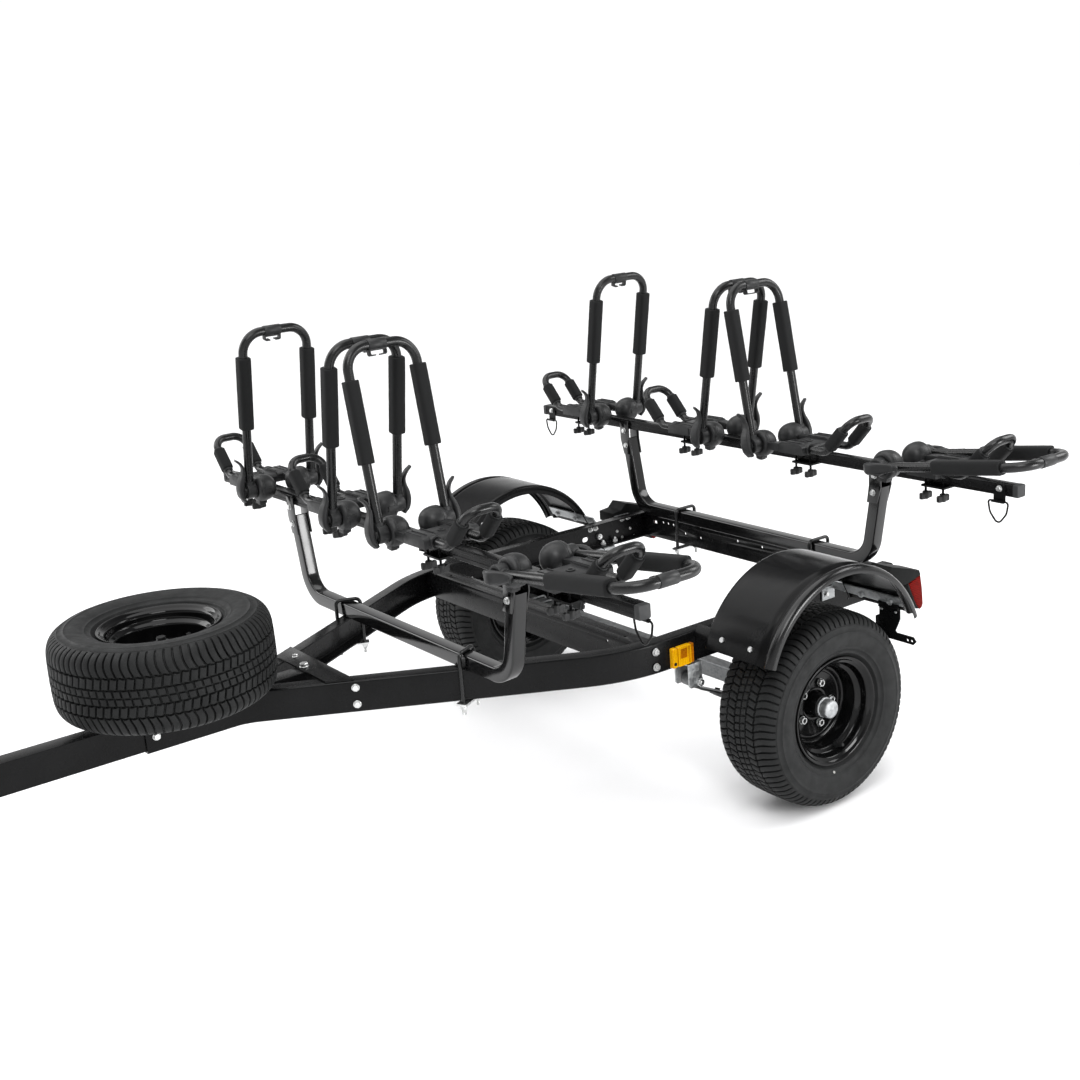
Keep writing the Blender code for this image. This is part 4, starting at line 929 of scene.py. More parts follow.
def riser_parts():
    tube_shape, end_y = riser_shape()
    ears, pins = Mesh(), Mesh()
    for s in (-1, 1):
        y = s * (end_y - 0.001)
        for side in (-1, 1):
            x0, x1 = sorted((side * 0.0188, side * 0.0230))
            lean = s * 0.018
            outline = [
                (y - s * 0.021 - lean * 0.45, 0.686), (y + s * 0.015 - lean * 0.45, 0.686),
                (y + s * 0.021, 0.735), (y + s * 0.021, 0.792), (y + s * 0.016, 0.798),
                (y - s * 0.016, 0.798), (y - s * 0.021, 0.792), (y - s * 0.021, 0.735),
            ]
            ears.add(prism(outline, AX, x0, x1))
            pins.add(hex_bolt(0.0130, 0.0060, 0.0090) if side > 0 else nut_and_end(0.0130, 0.0075, 0.0040, 0.004), matrix_to((side, 0, 0), (side * 0.0231, y, 0.765)))
            pins.add(hex_bolt(0.0130, 0.0055, 0.0090), matrix_to((side, 0, 0), (side * 0.0231, y - s * 0.006, 0.716)))
    return tube_shape, ears, pins


RISER_TUBE, RISER_EARS, RISER_PINS = riser_parts()
EARS_MESH = build("riser_ears", RISER_EARS, RISER_PAINT, bevel=0.0007)
for word, x in (("front", FRONT_X), ("rear", REAR_X)):
    ride = put(f"riser_{word}_look", build("riser_look", RISER_TUBE, RISER_PAINT, sharp=40.0), "frame", (x, 0, 0), replaces=(f"riser_bar_{word}",))
    put(f"riser_{word}_ears", EARS_MESH, "frame", (x, 0, 0))
    put(f"riser_{word}_bolts", build("riser_bolts", RISER_PINS, ZINC, sharp=30.0), "frame", (x, 0, 0))


# ------------------------------------------------------------------ load bars
def bar_outline():
    """Square section, rounded at its corners, with a shallow groove down each upright side."""
    h, g, d = BAR_W / 2, 0.0042, 0.0014
    out = []
    for qu, qv, start in ((1, 1, 0), (-1, 1, 90), (-1, -1, 180), (1, -1, 270)):
        corner = [(qu * (h - 0.0035) + 0.0035 * math.cos(math.radians(start + 90 * k / 4)), qv * (h - 0.0035) + 0.0035 * math.sin(math.radians(start + 90 * k / 4))) for k in range(5)]
        out += corner
        if start in (90, 270):
            s = -1 if start == 90 else 1
            # the upright side that follows this corner
            order = (1, -1) if start == 90 else (-1, 1)
            out += [(s * h, order[0] * (g + 0.001)), (s * (h - d), order[0] * g), (s * (h - d), order[1] * g), (s * h, order[1] * (g + 0.001))]
    return out


CAP_LEN = 0.015
half_bar = BAR_LEN / 2 - CAP_LEN
outline = bar_outline()
bar = Mesh()
rings = [[Vector((u, y, v)) for u, v in outline] for y in (-half_bar, half_bar)]
bar.add(loft(rings))
caps = Mesh()
for s in (-1, 1):
    shapes = []
    for d, k in ((0.0, 1.0), (0.0005, 1.025), (CAP_LEN - 0.0025, 1.025), (CAP_LEN - 0.0008, 0.995), (CAP_LEN, 0.94)):
        shapes.append([Vector((u * k, s * (half_bar + d), v * k)) for u, v in round_rect(BAR_W / 2, BAR_W / 2, 0.004, 5)])
    caps.add(loft(shapes))


def d_ring(side):
    """Plate bolted on the bar's side with a hanging pointed ring; side is the way it faces in X."""
    plates, rods, heads = Mesh(), Mesh(), Mesh()
    x0 = side * (BAR_W / 2 + 0.0003)
    for s in (-1, 1):
        y = s * (0.955 if side < 0 else 0.938)
        a, b = sorted((x0, x0 + side * 0.0025))
        plate = [(y - 0.0175, -0.004), (y + 0.0175, -0.004), (y + 0.0165, 0.009), (y + 0.0110, 0.0140), (y - 0.0110, 0.0140), (y - 0.0165, 0.009)]
        plates.add(prism([(u, v) for u, v in plate], AX, a, b))
        # the plate's foot curls round the ring's straight side
        foot = fillet([(x0 + side * 0.00125, y, -0.003), (x0 + side * 0.00125, y, -0.0290), (x0 + side * 0.0095, y, -0.0350), (x0 + side * 0.0125, y, -0.0260)], (0, 0.005, 0.004, 0), 6)
        plates.add(sweep(foot, [(0.0175, -0.00125), (0.0175, 0.00125), (-0.0175, 0.00125), (-0.0175, -0.00125)], up=(1, 0, 0)))
        cx = x0 + side * 0.0065
        ring = fillet([(cx, y, -0.0290), (cx, y - 0.0305, -0.0290), (cx, y - 0.0250, -0.0600), (cx, y, -0.0905), (cx, y + 0.0250, -0.0600), (cx, y + 0.0305, -0.0290), (cx, y, -0.0290)], (0, 0.0070, 0.030, 0.0120, 0.030, 0.0070, 0), 6)
        loop = [p for p in ring[:-1]]
        rods.add(closed_tube(loop, 0.0025, 12))
        heads.add(hex_bolt(0.0130, 0.0050, 0.0085), matrix_to((side, 0, 0), (x0 + side * 0.0026, y, 0.003)))
    return plates, rods, heads


def closed_tube(points, r, sides):
    """A round bar bent into a ring."""
    n = len(points)
    centre = sum(points, Vector()) / n
    rings = []
    for i, p in enumerate(points):
        t = (points[(i + 1) % n] - points[i - 1]).normalized()
        out = (p - centre)
        u = (out - t * out.dot(t)).normalized()
        v = t.cross(u).normalized()
        rings.append([p + u * (r * math.cos(2 * PI * k / sides)) + v * (r * math.sin(2 * PI * k / sides)) for k in range(sides)])
    return loft(rings, False, True)


BAR_MESH = build("load_bar_look", bar, PAINT, bevel=0.0, sharp=36.0)
CAPS_MESH = build("bar_caps", caps, CAP, sharp=36.0)
for word, x, side in (("front", FRONT_X, -1), ("rear", REAR_X, 1)):
    put(f"load_bar_{word}_look", BAR_MESH, "frame", (x, 0, BAR_Z), replaces=(f"load_bar_{word}",))
    put(f"load_bar_{word}_caps", CAPS_MESH, "frame", (x, 0, BAR_Z))
    plates, rods, heads = d_ring(side)
    put(f"tie_rings_{word}", build(f"tie_rings_{word}", [(plates, 0), (rods, 0), (heads, 1)], [SATIN, ZINC], bevel=0.0, sharp=36.0), "frame", (x, 0, BAR_Z))


# ------------------------------------------------------------------ U-bolts
def u_bolt(half_span):
    top = RAIL_TOP + 0.0006 + 2 * 0.01905 + 0.0052
    rod = tube([(-half_span, 0, 0.398), (-half_span, 0, top), (half_span, 0, top), (half_span, 0, 0.398)], (0, 0.013, 0.013, 0), 0.0052, 18, 8, up=(0, 1, 0))
    z1 = RAIL_LOW - 0.0003
    plate = prism(round_rect(half_span + 0.013, 0.014, 0.003, 4), AZ, z1 - 0.005, z1)
    ends = Mesh()
    for s in (-1, 1):
        ends.add(Mesh().add(threaded(0.0050, 0.376, 0.4005), Matrix.Translation((s * half_span, 0, 0))))
        ends.add(hex_bolt(0.0165, 0.0095, 0.0115, 0.2 * s), matrix_to((0, 0, -1), (s * half_span, 0, z1 - 0.0051)))
    return rod, plate, ends


for word, span, at_x, at_y in (("front", math.hypot(0.030, 0.015), FRONT_X, 0.295), ("rear", 0.0395, -0.4410, 0.290)):
    rod, plate, ends = u_bolt(span)
    mesh = build(f"u_bolt_{word}", [(rod, 0), (plate, 1), (ends, 2)], [GLOSSY_ROD, ZINC, ZINC], sharp=34.0)
    for side, sign in (("left", 1), ("right", -1)):
        angle = sign * math.atan2(0.015, 0.030) if word == "front" else 0.0
        put(f"u_bolt_{word}_{side}_look", mesh, "frame", (at_x, sign * at_y, 0), Matrix.Rotation(angle, 4, "Z"), (f"u_bolt_{word}_{side}",))


# ------------------------------------------------------------------ axle and springs
AXLE_Z, AXLE_W, LEAF_T, SEAT = 0.262, 1.75 * INCH, 0.0065, 0.036


def spring_z(x):
    beyond = max(abs(x) - SEAT, 0.0)
    return AXLE_Z - AXLE_W / 2 - 0.0003 + 0.47 * (math.hypot(beyond, 0.012) - 0.012)


axle = Mesh()
axle.add(loft([[Vector((u, y, AXLE_Z + v)) for u, v in round_rect(AXLE_W / 2, AXLE_W / 2, 0.0045, 4)] for y in (-0.590, 0.590)]))
for s in (-1, 1):
    spindle = revolve(
        ((0, 0.585), (0.0210, 0.585), (0.0210, 0.604), (0.0170, 0.608), (0.0160, 0.612), (0.0160, 0.690), (0.0120, 0.694), (0.0120, 0.708), (0, 0.708)),
        AY, 32, (0, 0, WHEEL_Z), closed=False,
    )
    axle.add(spindle if s > 0 else spindle.mirrored(AY))
clamp_low = spring_z(0.0) - 3 * LEAF_T - 0.0008
straps, seats, strap_nuts = Mesh(), Mesh(), Mesh()
for s in (-1, 1):
    y = s * 0.500
    top = AXLE_Z + AXLE_W / 2 + 0.0042
    for dy in (-0.0272, 0.0272):
        straps.add(tube([(-0.0300, y + dy, clamp_low - 0.017), (-0.0300, y + dy, top), (0.0300, y + dy, top), (0.0300, y + dy, clamp_low - 0.017)], (0, 0.010, 0.010, 0), 0.0040, 14, 7, up=(0, 1, 0)))
        for x in (-0.030, 0.030):
            strap_nuts.add(hex_bolt(0.0130, 0.0075, 0.0090), matrix_to((0, 0, -1), (x, y + dy, clamp_low - 0.0080)))
    seats.add(prism(round_rect(0.045, 0.036, 0.004, 4, 0.0, y), AZ, clamp_low - 0.0078, clamp_low))
put("axle_look", build("axle_look", [(axle, 0), (straps, 0), (seats, 0), (strap_nuts, 1)], [GALV_DULL, ZINC], bevel=0.0, sharp=36.0), "frame", replaces=("axle_beam",))


def leaf(reach, layer, n=36):
    top = [(-reach + 2 * reach * k / n) for k in range(n + 1)]
    rings = []
    for x in top:
        z = spring_z(x) - layer * LEAF_T - 0.0002
        slope = math.atan(0.47) * (1 if x > 0 else -1) if abs(x) > SEAT else 0.0
        edge = min(1.0, (reach - abs(x)) / 0.018 + 0.55) if layer else 1.0
        w = 0.0225 * edge
        rings.append([Vector((x + math.sin(slope) * d, y, z - d * math.cos(slope))) for y, d in ((-w, 0.0008), (-w + 0.0008, 0), (w - 0.0008, 0), (w, 0.0008), (w, LEAF_T - 0.0012), (w - 0.0008, LEAF_T - 0.0004), (-w + 0.0008, LEAF_T - 0.0004), (-w, LEAF_T - 0.0012))])
    return loft(rings)


def spring_shape():
    steel, rubber, zinc_bits = Mesh(), Mesh(), Mesh()
    steel.add(leaf(0.243, 0)).add(leaf(0.185, 1)).add(leaf(0.110, 2))
    for s in (-1, 1):
        c = (s * 0.256, 0, 0.353)
        steel.add(revolve(((0.0125, -0.0222), (0.0182, -0.0222), (0.0190, -0.0215), (0.0190, 0.0215), (0.0182, 0.0222), (0.0125, 0.0222)), AY, 32, c))
        rubber.add(revolve(((0.0064, -0.0232), (0.0135, -0.0232), (0.0135, -0.0224), (0.0124, -0.0224), (0.0124, 0.0224), (0.0135, 0.0224), (0.0135, 0.0232), (0.0064, 0.0232)), AY, 28, c))
        # clip that keeps the leaves in line
        x = s * 0.150
        z = spring_z(x)
        tilt = Matrix.Translation((x, 0, z - LEAF_T)) @ Matrix.Rotation(-s * math.atan(0.47), 4, "Y")
        steel.add(Mesh().add(together(
            box(-0.009, 0.009, -0.0260, -0.0236, -0.0080, 0.0100), box(-0.009, 0.009, 0.0236, 0.0260, -0.0080, 0.0100),
            box(-0.009, 0.009, -0.0260, 0.0260, -0.0104, -0.0080),
        ), tilt))
    zinc_bits.add(hex_bolt(0.0110, 0.0060, 0), matrix_to((0, 0, -1), (0, 0, clamp_low - 0.0078)))
    return steel, rubber, zinc_bits


SPRING_STEEL, SPRING_RUBBER, SPRING_ZINC = spring_shape()
SPRING_MESH = build("leaf_spring", [(SPRING_STEEL, 0), (SPRING_RUBBER, 1), (SPRING_ZINC, 2)], [GALV_DULL, RUBBER, ZINC], sharp=36.0)
for side, sign in (("left", 1), ("right", -1)):
    put(f"leaf_spring_{side}_look", SPRING_MESH, "frame", (0, sign * 0.500, 0), replaces=(f"leaf_spring_{side}",))
    for end, ex in (("front", 0.256), ("rear", -0.256)):
        nuts = Mesh()
        nuts.add(hex_bolt(0.0190, 0.0075, 0.0125), matrix_to((0, -1, 0), (ex, sign * 0.500 - 0.0278, 0.353)))
        nuts.add(nut_and_end(0.0190, 0.0085, 0.0055, 0.003), matrix_to((0, 1, 0), (ex, sign * 0.500 + 0.0278, 0.353)))
        refined(f"spring_hanger_{end}_{side}", GALV, bevel=0.0007, extra=((nuts, 1),), paints=[GALV, ZINC])


# ------------------------------------------------------------------ fenders
FENDER_R, FENDER_CZ, FENDER_T = 0.287, 0.361, 0.003


def sheet(points, thick):
    """A bent sheet's section: the line through the points and the same line set in by the thickness."""
    pts = [Vector((*p, 0.0)) for p in points]
    inner = []
    for i, p in enumerate(pts):
        a = (p - pts[i - 1]).normalized() if i else (pts[1] - p).normalized()
        b = (pts[i + 1] - p).normalized() if i + 1 < len(pts) else a
        d = (a + b).normalized()
        inner.append((p.x - d.y * thick, p.y + d.x * thick))
    return [(p.x, p.y) for p in pts] + inner[::-1]


def fender_section(lip):
    """(radius, y) across the skin: turned-down inner edge, flat top, valley, round outer bead."""
    y0, y1, r, b = 0.568, 0.799, FENDER_R, 0.0140
    line = [(r - 0.0075 - lip, y0 + 0.0022), (r - 0.0075 - lip * 0.5, y0 + 0.0006), (r - 0.0075, y0 + 0.0002)]
    line += [(r - 0.0075 + 0.0075 * math.sin(math.radians(q)), y0 + 0.0077 - 0.0075 * math.cos(math.radians(q))) for q in (20, 40, 60, 80)]
    line += [(r, y0 + 0.011), (r, y1 - 0.052), (r, y1 - 0.0470), (r - 0.0006, y1 - 0.0445), (r - 0.0024, y1 - 0.0405), (r - 0.0046, y1 - 0.0365), (r - 0.0062, y1 - 0.0335), (r - 0.0068, y1 - 0.0305)]
    line += [(r - b + b * math.sin(math.radians(q)), y1 - b + b * math.cos(math.radians(q))) for q in range(148, -7, -14)]
    line += [(r - b - 0.0042, y1 - 0.0002)]
    return sheet(line[::-1], 0.0022)


def fender_shape():
    rings = []
    n = 112
    for k in range(n + 1):
        deg = 20.0 + 140.0 * k / n
        a = math.radians(deg)
        # the inner lip is cut away where the brackets pass under it
        gap = min(abs(deg - 27.5), abs(deg - 152.5))
        lip = 0.0165 * min(1.0, max(0.0, (gap - 6.0) / 3.0))
        rings.append([Vector((q * math.cos(a), y, FENDER_CZ + q * math.sin(a))) for q, y in fender_section(lip + 0.0005)])
    return loft(rings)


def bracket(end, side):
    """Front brackets are coated like the rails; the rear ones are galvanised, the licence bracket under the left one black."""
    o = refined(f"fender_bracket_{end}_{side}", GALV, bevel=0.0007, paints=[GALV, PAINT])
    for p in o.data.polygons:
        c = p.center
        plate = -0.2580 < c.x < -0.2475 and c.z < 0.4765 and 0.62 < c.y < 0.81
        if end == "front" or (side == "left" and plate):
            p.material_index = 1
    return o


FENDER = fender_shape()
fender_bolts = Mesh()
for front in (1, -1):
    a = math.radians(26.5)
    out = Vector((front * math.cos(a), 0, math.sin(a)))
    for y in (0.624, 0.724):
        fender_bolts.add(hex_bolt(0.0130, 0.0058, 0.0095), matrix_to(out, Vector((0, y, FENDER_CZ)) + out * (FENDER_R + 0.0002)))
for side in ("left", "right"):
    f = FENDER if side == "left" else FENDER.mirrored(AY)
    b = fender_bolts if side == "left" else fender_bolts.mirrored(AY)
    skin = build(f"fender_{side}", [(f, 0)], [FENDER_PAINT, BEAD_PAINT], sharp=40.0)
    for q in skin.polygons:
        q.material_index = 1 if abs(q.center.y) > 0.7760 else 0
    put(f"fender_{side}_look", skin, "frame", replaces=(f"fender_{side}",))
    put(f"fender_{side}_bolts", build(f"fender_{side}_bolts", b, ZINC, sharp=30.0), "frame")
    for end in ("front", "rear"):
        bracket(end, side)
licence_screws = Mesh()
for y in (0.6890, 0.7360):
    licence_screws.add(hex_bolt(0.0062, 0.0022, 0.0040, button=True), matrix_to((1, 0, 0), (-0.2540, y, 0.4560)))
put("licence_screws", build("licence_screws", licence_screws, ZINC, sharp=30.0), "frame")


# ------------------------------------------------------------------ lamps
def lamp_shapes():
    hood = prism(((-0.335, 0.463), (-0.335, 0.4955), (-0.372, 0.499), (-0.394, 0.520), (-0.450, 0.503), (-0.508, 0.485), (-0.5145, 0.470), (-0.488, 0.462), (-0.455, 0.4555)), AY, 0.5335, 0.6050)
    glass = prism(((-0.4640, 0.4545), (-0.4880, 0.4612), (-0.5138, 0.4690), (-0.5205, 0.4300), (-0.5240, 0.3830), (-0.5190, 0.3720), (-0.5100, 0.3690), (-0.4960, 0.3860), (-0.4740, 0.4320)), AY, 0.5350, 0.6045)
    back = prism(((-0.4560, 0.4540), (-0.4632, 0.4560), (-0.4732, 0.4330), (-0.4950, 0.3870), (-0.5060, 0.3725), (-0.4980, 0.3730), (-0.4860, 0.3900), (-0.4640, 0.4330)), AY, 0.5345, 0.6048)
    return hood, glass, back


hood, glass, back = lamp_shapes()
for side in ("left", "right"):
    flip = (lambda s: s) if side == "left" else (lambda s: s.mirrored(AY))
    put(f"tail_lamp_{side}_hood", build("lamp_hood", flip(together(hood, back)), HOOD, bevel=0.0022, segments=3), "frame", replaces=(f"tail_lamp_{side}",))
    put(f"tail_lamp_{side}_lens", build("lamp_lens", flip(glass), RED, bevel=0.0028, segments=3), "frame")
    tab = box(-0.400, -0.340, 0.5189, 0.5345, 0.466, 0.486)
    put(f"tail_lamp_{side}_tab", build("lamp_tab", flip(tab), GALV, bevel=0.0010), "frame")
    # amber marker on the rail's side: base, end column with a screw, groove, framed reflector, darker edge
    mx, mz = 0.308, 0.439
    hu, hv = 0.0360, 0.0262
    base = Mesh().add(prism(round_rect(hu, hv, 0.0040, 5), AY, 0.5188, 0.5206), Matrix.Translation((mx, 0, mz)))
    shell = Mesh()
    shell.add(loft([[Vector((mx + 0.0278 + u * k, y, mz + v * k)) for u, v in round_rect(0.0080, hv, 0.0035, 5)] for y, k in ((0.5200, 1.0), (0.5290, 1.0), (0.5312, 0.98), (0.5322, 0.94))]))
    shell.add(loft([[Vector((mx - 0.0043 + u * k, y, mz + v * k)) for u, v in round_rect(0.0218, hv, 0.0035, 5)] for y, k in ((0.5200, 1.0), (0.5290, 1.0), (0.5312, 0.99), (0.5322, 0.97))]))
    glass_in = Mesh()
    glass_in.add(loft([[Vector((mx - 0.0310 + u * k, y, mz + v * k)) for u, v in round_rect(0.0052, hv, 0.0030, 4)] for y, k in ((0.5200, 1.0), (0.5286, 1.0), (0.5300, 0.96))]))
    glass_in.add(box(mx + 0.0165, mx + 0.0215, 0.5200, 0.5285, mz - hv + 0.0015, mz + hv - 0.0015))
    glass_in.add(Mesh().add(prism(round_rect(0.0108, 0.0130, 0.0020, 4), AY, 0.5310, 0.5334), Matrix.Translation((mx - 0.0005, 0, mz + 0.0080))))
    frame_ring = sweep([(mx - 0.0005, 0.5310, mz + 0.0080), (mx - 0.0005, 0.5340, mz + 0.0080)], round_rect(0.0126, 0.0148, 0.0026, 4), up=(0, 0, 1), inner=round_rect(0.0108, 0.0130, 0.0020, 4))
    ridge = together(*(box(mx - 0.0212 + q, mx - 0.0200 + q, 0.5318, 0.5330, mz - 0.0215, mz + 0.0215) for q in (0.0, 0.0030)))
    cover = hex_bolt(0.0065, 0.0020, 0.0045, button=True)
    screw_m = Mesh().add(cover, matrix_to((0, 1, 0), (mx + 0.0282, 0.5318, mz - 0.0150)))
    put(f"side_marker_{side}_base", build("marker_base", flip(base), PLASTIC, bevel=0.0006), "frame")
    put(f"side_marker_{side}_lens", build("marker_lens", [(flip(together(shell, frame_ring)), 0), (flip(glass_in), 1), (flip(ridge), 1), (flip(screw_m), 2)], [AMBER, AMBER_DARK, SATIN], sharp=32.0), "frame")


# ------------------------------------------------------------------ spare wheel's post
sx = SPARE_AT.x
disc_low, disc_high = SPARE_AT.z + 0.0020 - 0.0003, SPARE_AT.z + 0.0070 + 0.0003
post = Mesh()
post.add(prism(round_rect(0.050, 0.040, 0.005, 4), AZ, 0.4903, 0.4963))
post.add(
    revolve(
        (
            (0, 0.4950), (0.0275, 0.4963), (0.0262, 0.4985), (0.0245, 0.5000), (0.0240, 0.5020), (0.0240, disc_low - 0.0110),
            (0.0255, disc_low - 0.0080), (0.0280, disc_low - 0.0062), (0.0690, disc_low - 0.0060), (0.0700, disc_low - 0.0050),
            (0.0700, disc_low - 0.0010), (0.0690, disc_low - 0.0001), (0, disc_low - 0.0001),
        ),
        AZ, 48, closed=False,
    )
)
for sy in (-1, 1):
    post.add(Mesh().add(prism(((0.022, 0.4960), (0.046, 0.4960), (0.0300, 0.5300), (0.022, 0.5300)), AY, -0.0025, 0.0025), Matrix.Diagonal((sy, 1, 1, 1))))
post.add(revolve(((0.0120, disc_high), (0.0600, disc_high), (0.0600, disc_high + 0.0040), (0.0585, disc_high + 0.0055), (0.0300, disc_high + 0.0060), (0.0120, disc_high + 0.0060)), AZ, 48))
stud = Mesh()
stud.add(Mesh().add(threaded(0.0115, disc_low - 0.004, disc_high + 0.045, 0.0020, 24)))
stud.add(hex_bolt(0.0310, 0.0145, 0.0220, 0.4).moved(0, 0, disc_high + 0.0060))
for qx, qy in ((1, 1), (1, -1), (-1, 1), (-1, -1)):
    stud.add(hex_bolt(0.0130, 0.0060, 0.0085).moved(qx * 0.038, qy * 0.029, 0.4963))
put("spare_post_look", build("spare_post", [(post, 0), (stud, 1)], [SATIN, SATIN], sharp=34.0), "frame", (sx, 0, 0), replaces=("spare_carrier",))


# ------------------------------------------------------------------ coupler and jack
coupler_extra = Mesh()
for s in (-1, 1):
    for x in (2.895, 2.940):
        coupler_extra.add(hex_bolt(0.0170, 0.0080, 0.0120), matrix_to((0, s, 0), (x, s * 0.0298, 0.462)))
coupler_extra.add(revolve(((0.0044, -0.0185), (0.0085, -0.0185), (0.0090, -0.0178), (0.0090, -0.0170), (0.0044, -0.0170)), AY, 20, (2.980, 0, 0.5123)))
coupler_extra.add(revolve(((0.0044, 0.0170), (0.0090, 0.0170), (0.0090, 0.0178), (0.0085, 0.0185), (0.0044, 0.0185)), AY, 20, (2.980, 0, 0.5123)))
coupler_extra.add(revolve(((0, -0.0188), (0.0044, -0.0188), (0.0044, 0.0188), (0, 0.0188)), AY, 16, (2.980, 0, 0.5123), closed=False))
refined("coupler_housing", PLATED, bevel=0.0012, segments=3, extra=((coupler_extra, 0),))
latch = Mesh()
line = fillet([(0.012, 0, -0.003), (0.0, 0, 0.002), (-0.050, 0, 0.004), (-0.100, 0, 0.0165), (-0.115, 0, 0.0235)], (0, 0.02, 0.05, 0.02, 0), 8)
latch.add(sweep(line, round_rect(0.0115, 0.0030, 0.0022, 3), up=(0, 0, 1)))
latch.add(revolve(((0.0047, -0.0120), (0.0075, -0.0120), (0.0082, -0.0112), (0.0082, 0.0112), (0.0075, 0.0120), (0.0047, 0.0120)), AY, 28))
put("coupler_latch_look", build("coupler_latch", latch, PLATED, sharp=36.0), "latch", (2.980, 0.0, 0.5123), replaces=("coupler_latch",))

JACK_AT = Vector((2.350, 0.0, 0.452))
jack_extra = Mesh()
jack_extra.add(revolve(((0.0208, 0.183), (0.0262, 0.183), (0.0268, 0.186), (0.0268, 0.196), (0.0255, 0.1985), (0.0208, 0.1985)), AZ, 40, (2.350, 0.080, 0.452)))
jack_extra.add(revolve(((0.0214, -0.1535), (0.0262, -0.1535), (0.0266, -0.150), (0.0266, -0.138), (0.0255, -0.1365), (0.0214, -0.1365)), AZ, 40, (2.350, 0.080, 0.452)))
for qx, qz in ((0.028, 0.022), (-0.028, 0.022), (0.028, -0.022), (-0.028, -0.022)):
    jack_extra.add(hex_bolt(0.0100, 0.0042, 0.0070), matrix_to((0, 1, 0), (2.350 + qx, 0.0378, 0.452 + qz)))
refined("jack_outer_tube", PLATED, body="jack", bevel=0.0008, extra=((jack_extra, 0),))
axle_nuts = Mesh()
for s in (-1, 1):
    axle_nuts.add(hex_bolt(0.0160, 0.0065, 0.0105), matrix_to((0, s, 0), (2.350, 0.080 + s * 0.0267, 0.0773)))
leg_cap = revolve(((0, 0.5590), (0.0200, 0.5590), (0.0205, 0.5598), (0.0200, 0.5612), (0.0170, 0.5622), (0, 0.5625)), AZ, 36, (2.350, 0.080, 0), closed=False)
refined("jack_inner_leg", PLATED, body="jack_leg", bevel=0.0008, extra=((axle_nuts, 0), (leg_cap, 1)), paints=[PLATED, PLASTIC])
tread_rows = []
for r, y in ((0.0072, -0.020), (0.0185, -0.020), (0.0200, -0.0185), (0.0215, -0.0150), (0.0520, -0.0120), (0.0540, -0.0135), (0.0700, -0.0140), (0.0765, -0.0125), (0.0795, -0.0080), (0.0800, 0.0)):
    tread_rows.append((r, y))
wheel_profile = tread_rows + [(r, -y) for r, y in reversed(tread_rows[:-1])]
jack_tyre = revolve(wheel_profile, AY, 64)
jack_hub = Mesh()
for s in (-1, 1):
    jack_hub.add(revolve(((0.0066, s * 0.0195), (0.0150, s * 0.0195), (0.0160, s * 0.0205), (0.0150, s * 0.0212), (0.0066, s * 0.0212)), AY, 28))
    for i in range(6):
        a = 2 * PI * i / 6
        rib = box(0.0190, 0.0520, -0.0016, 0.0016, 0.0118, 0.0150)
        jack_hub.add(Mesh().add(rib, Matrix.Rotation(-PI / 2 * s, 4, "X") @ Matrix.Rotation(a, 4, "Z")))
put("jack_wheel_look", build("jack_wheel", [(jack_tyre, 0), (jack_hub, 1)], [JACK_RUBBER, PLASTIC], sharp=36.0), "jack_wheel", (2.350, 0.080, 0.080 * math.cos(PI / 12)), replaces=("jack_wheel",))
screw = Mesh()
screw.add(Mesh().add(threaded(0.0052, 0.0213, 0.0520, 0.0015, 18), Matrix.Rotation(PI / 2, 4, "Y")))
screw.add(revolve(((0, 0.0500), (0.0088, 0.0500), (0.0100, 0.0512), (0.0100, 0.0628), (0.0088, 0.0640), (0, 0.0640)), AX, 28, closed=False))
screw.add(tube([(0.0575, -0.036, 0), (0.0575, 0.036, 0)], (0, 0), 0.0042, 16))
for s in (-1, 1):
    screw.add(revolve(((0, s * 0.0350), (0.0048, s * 0.0350), (0.0060, s * 0.0365), (0.0060, s * 0.0388), (0.0048, s * 0.0400), (0, s * 0.0402)), AY, 20, (0.0575, 0, 0), closed=False))
put("jack_clamp_look", build("jack_clamp", screw, PLATED, sharp=36.0), "jack_handle", (2.350, 0.080, 0.552), replaces=("jack_clamp_handle",))


# ------------------------------------------------------------------ hoop arms
ARM_X, ARM_TUBE_R, ARM_TOP, ARM_CORNER = 0.098, 0.0125, 0.4575, 0.057
PAD_LOW, PAD_HIGH = 0.188, 0.394


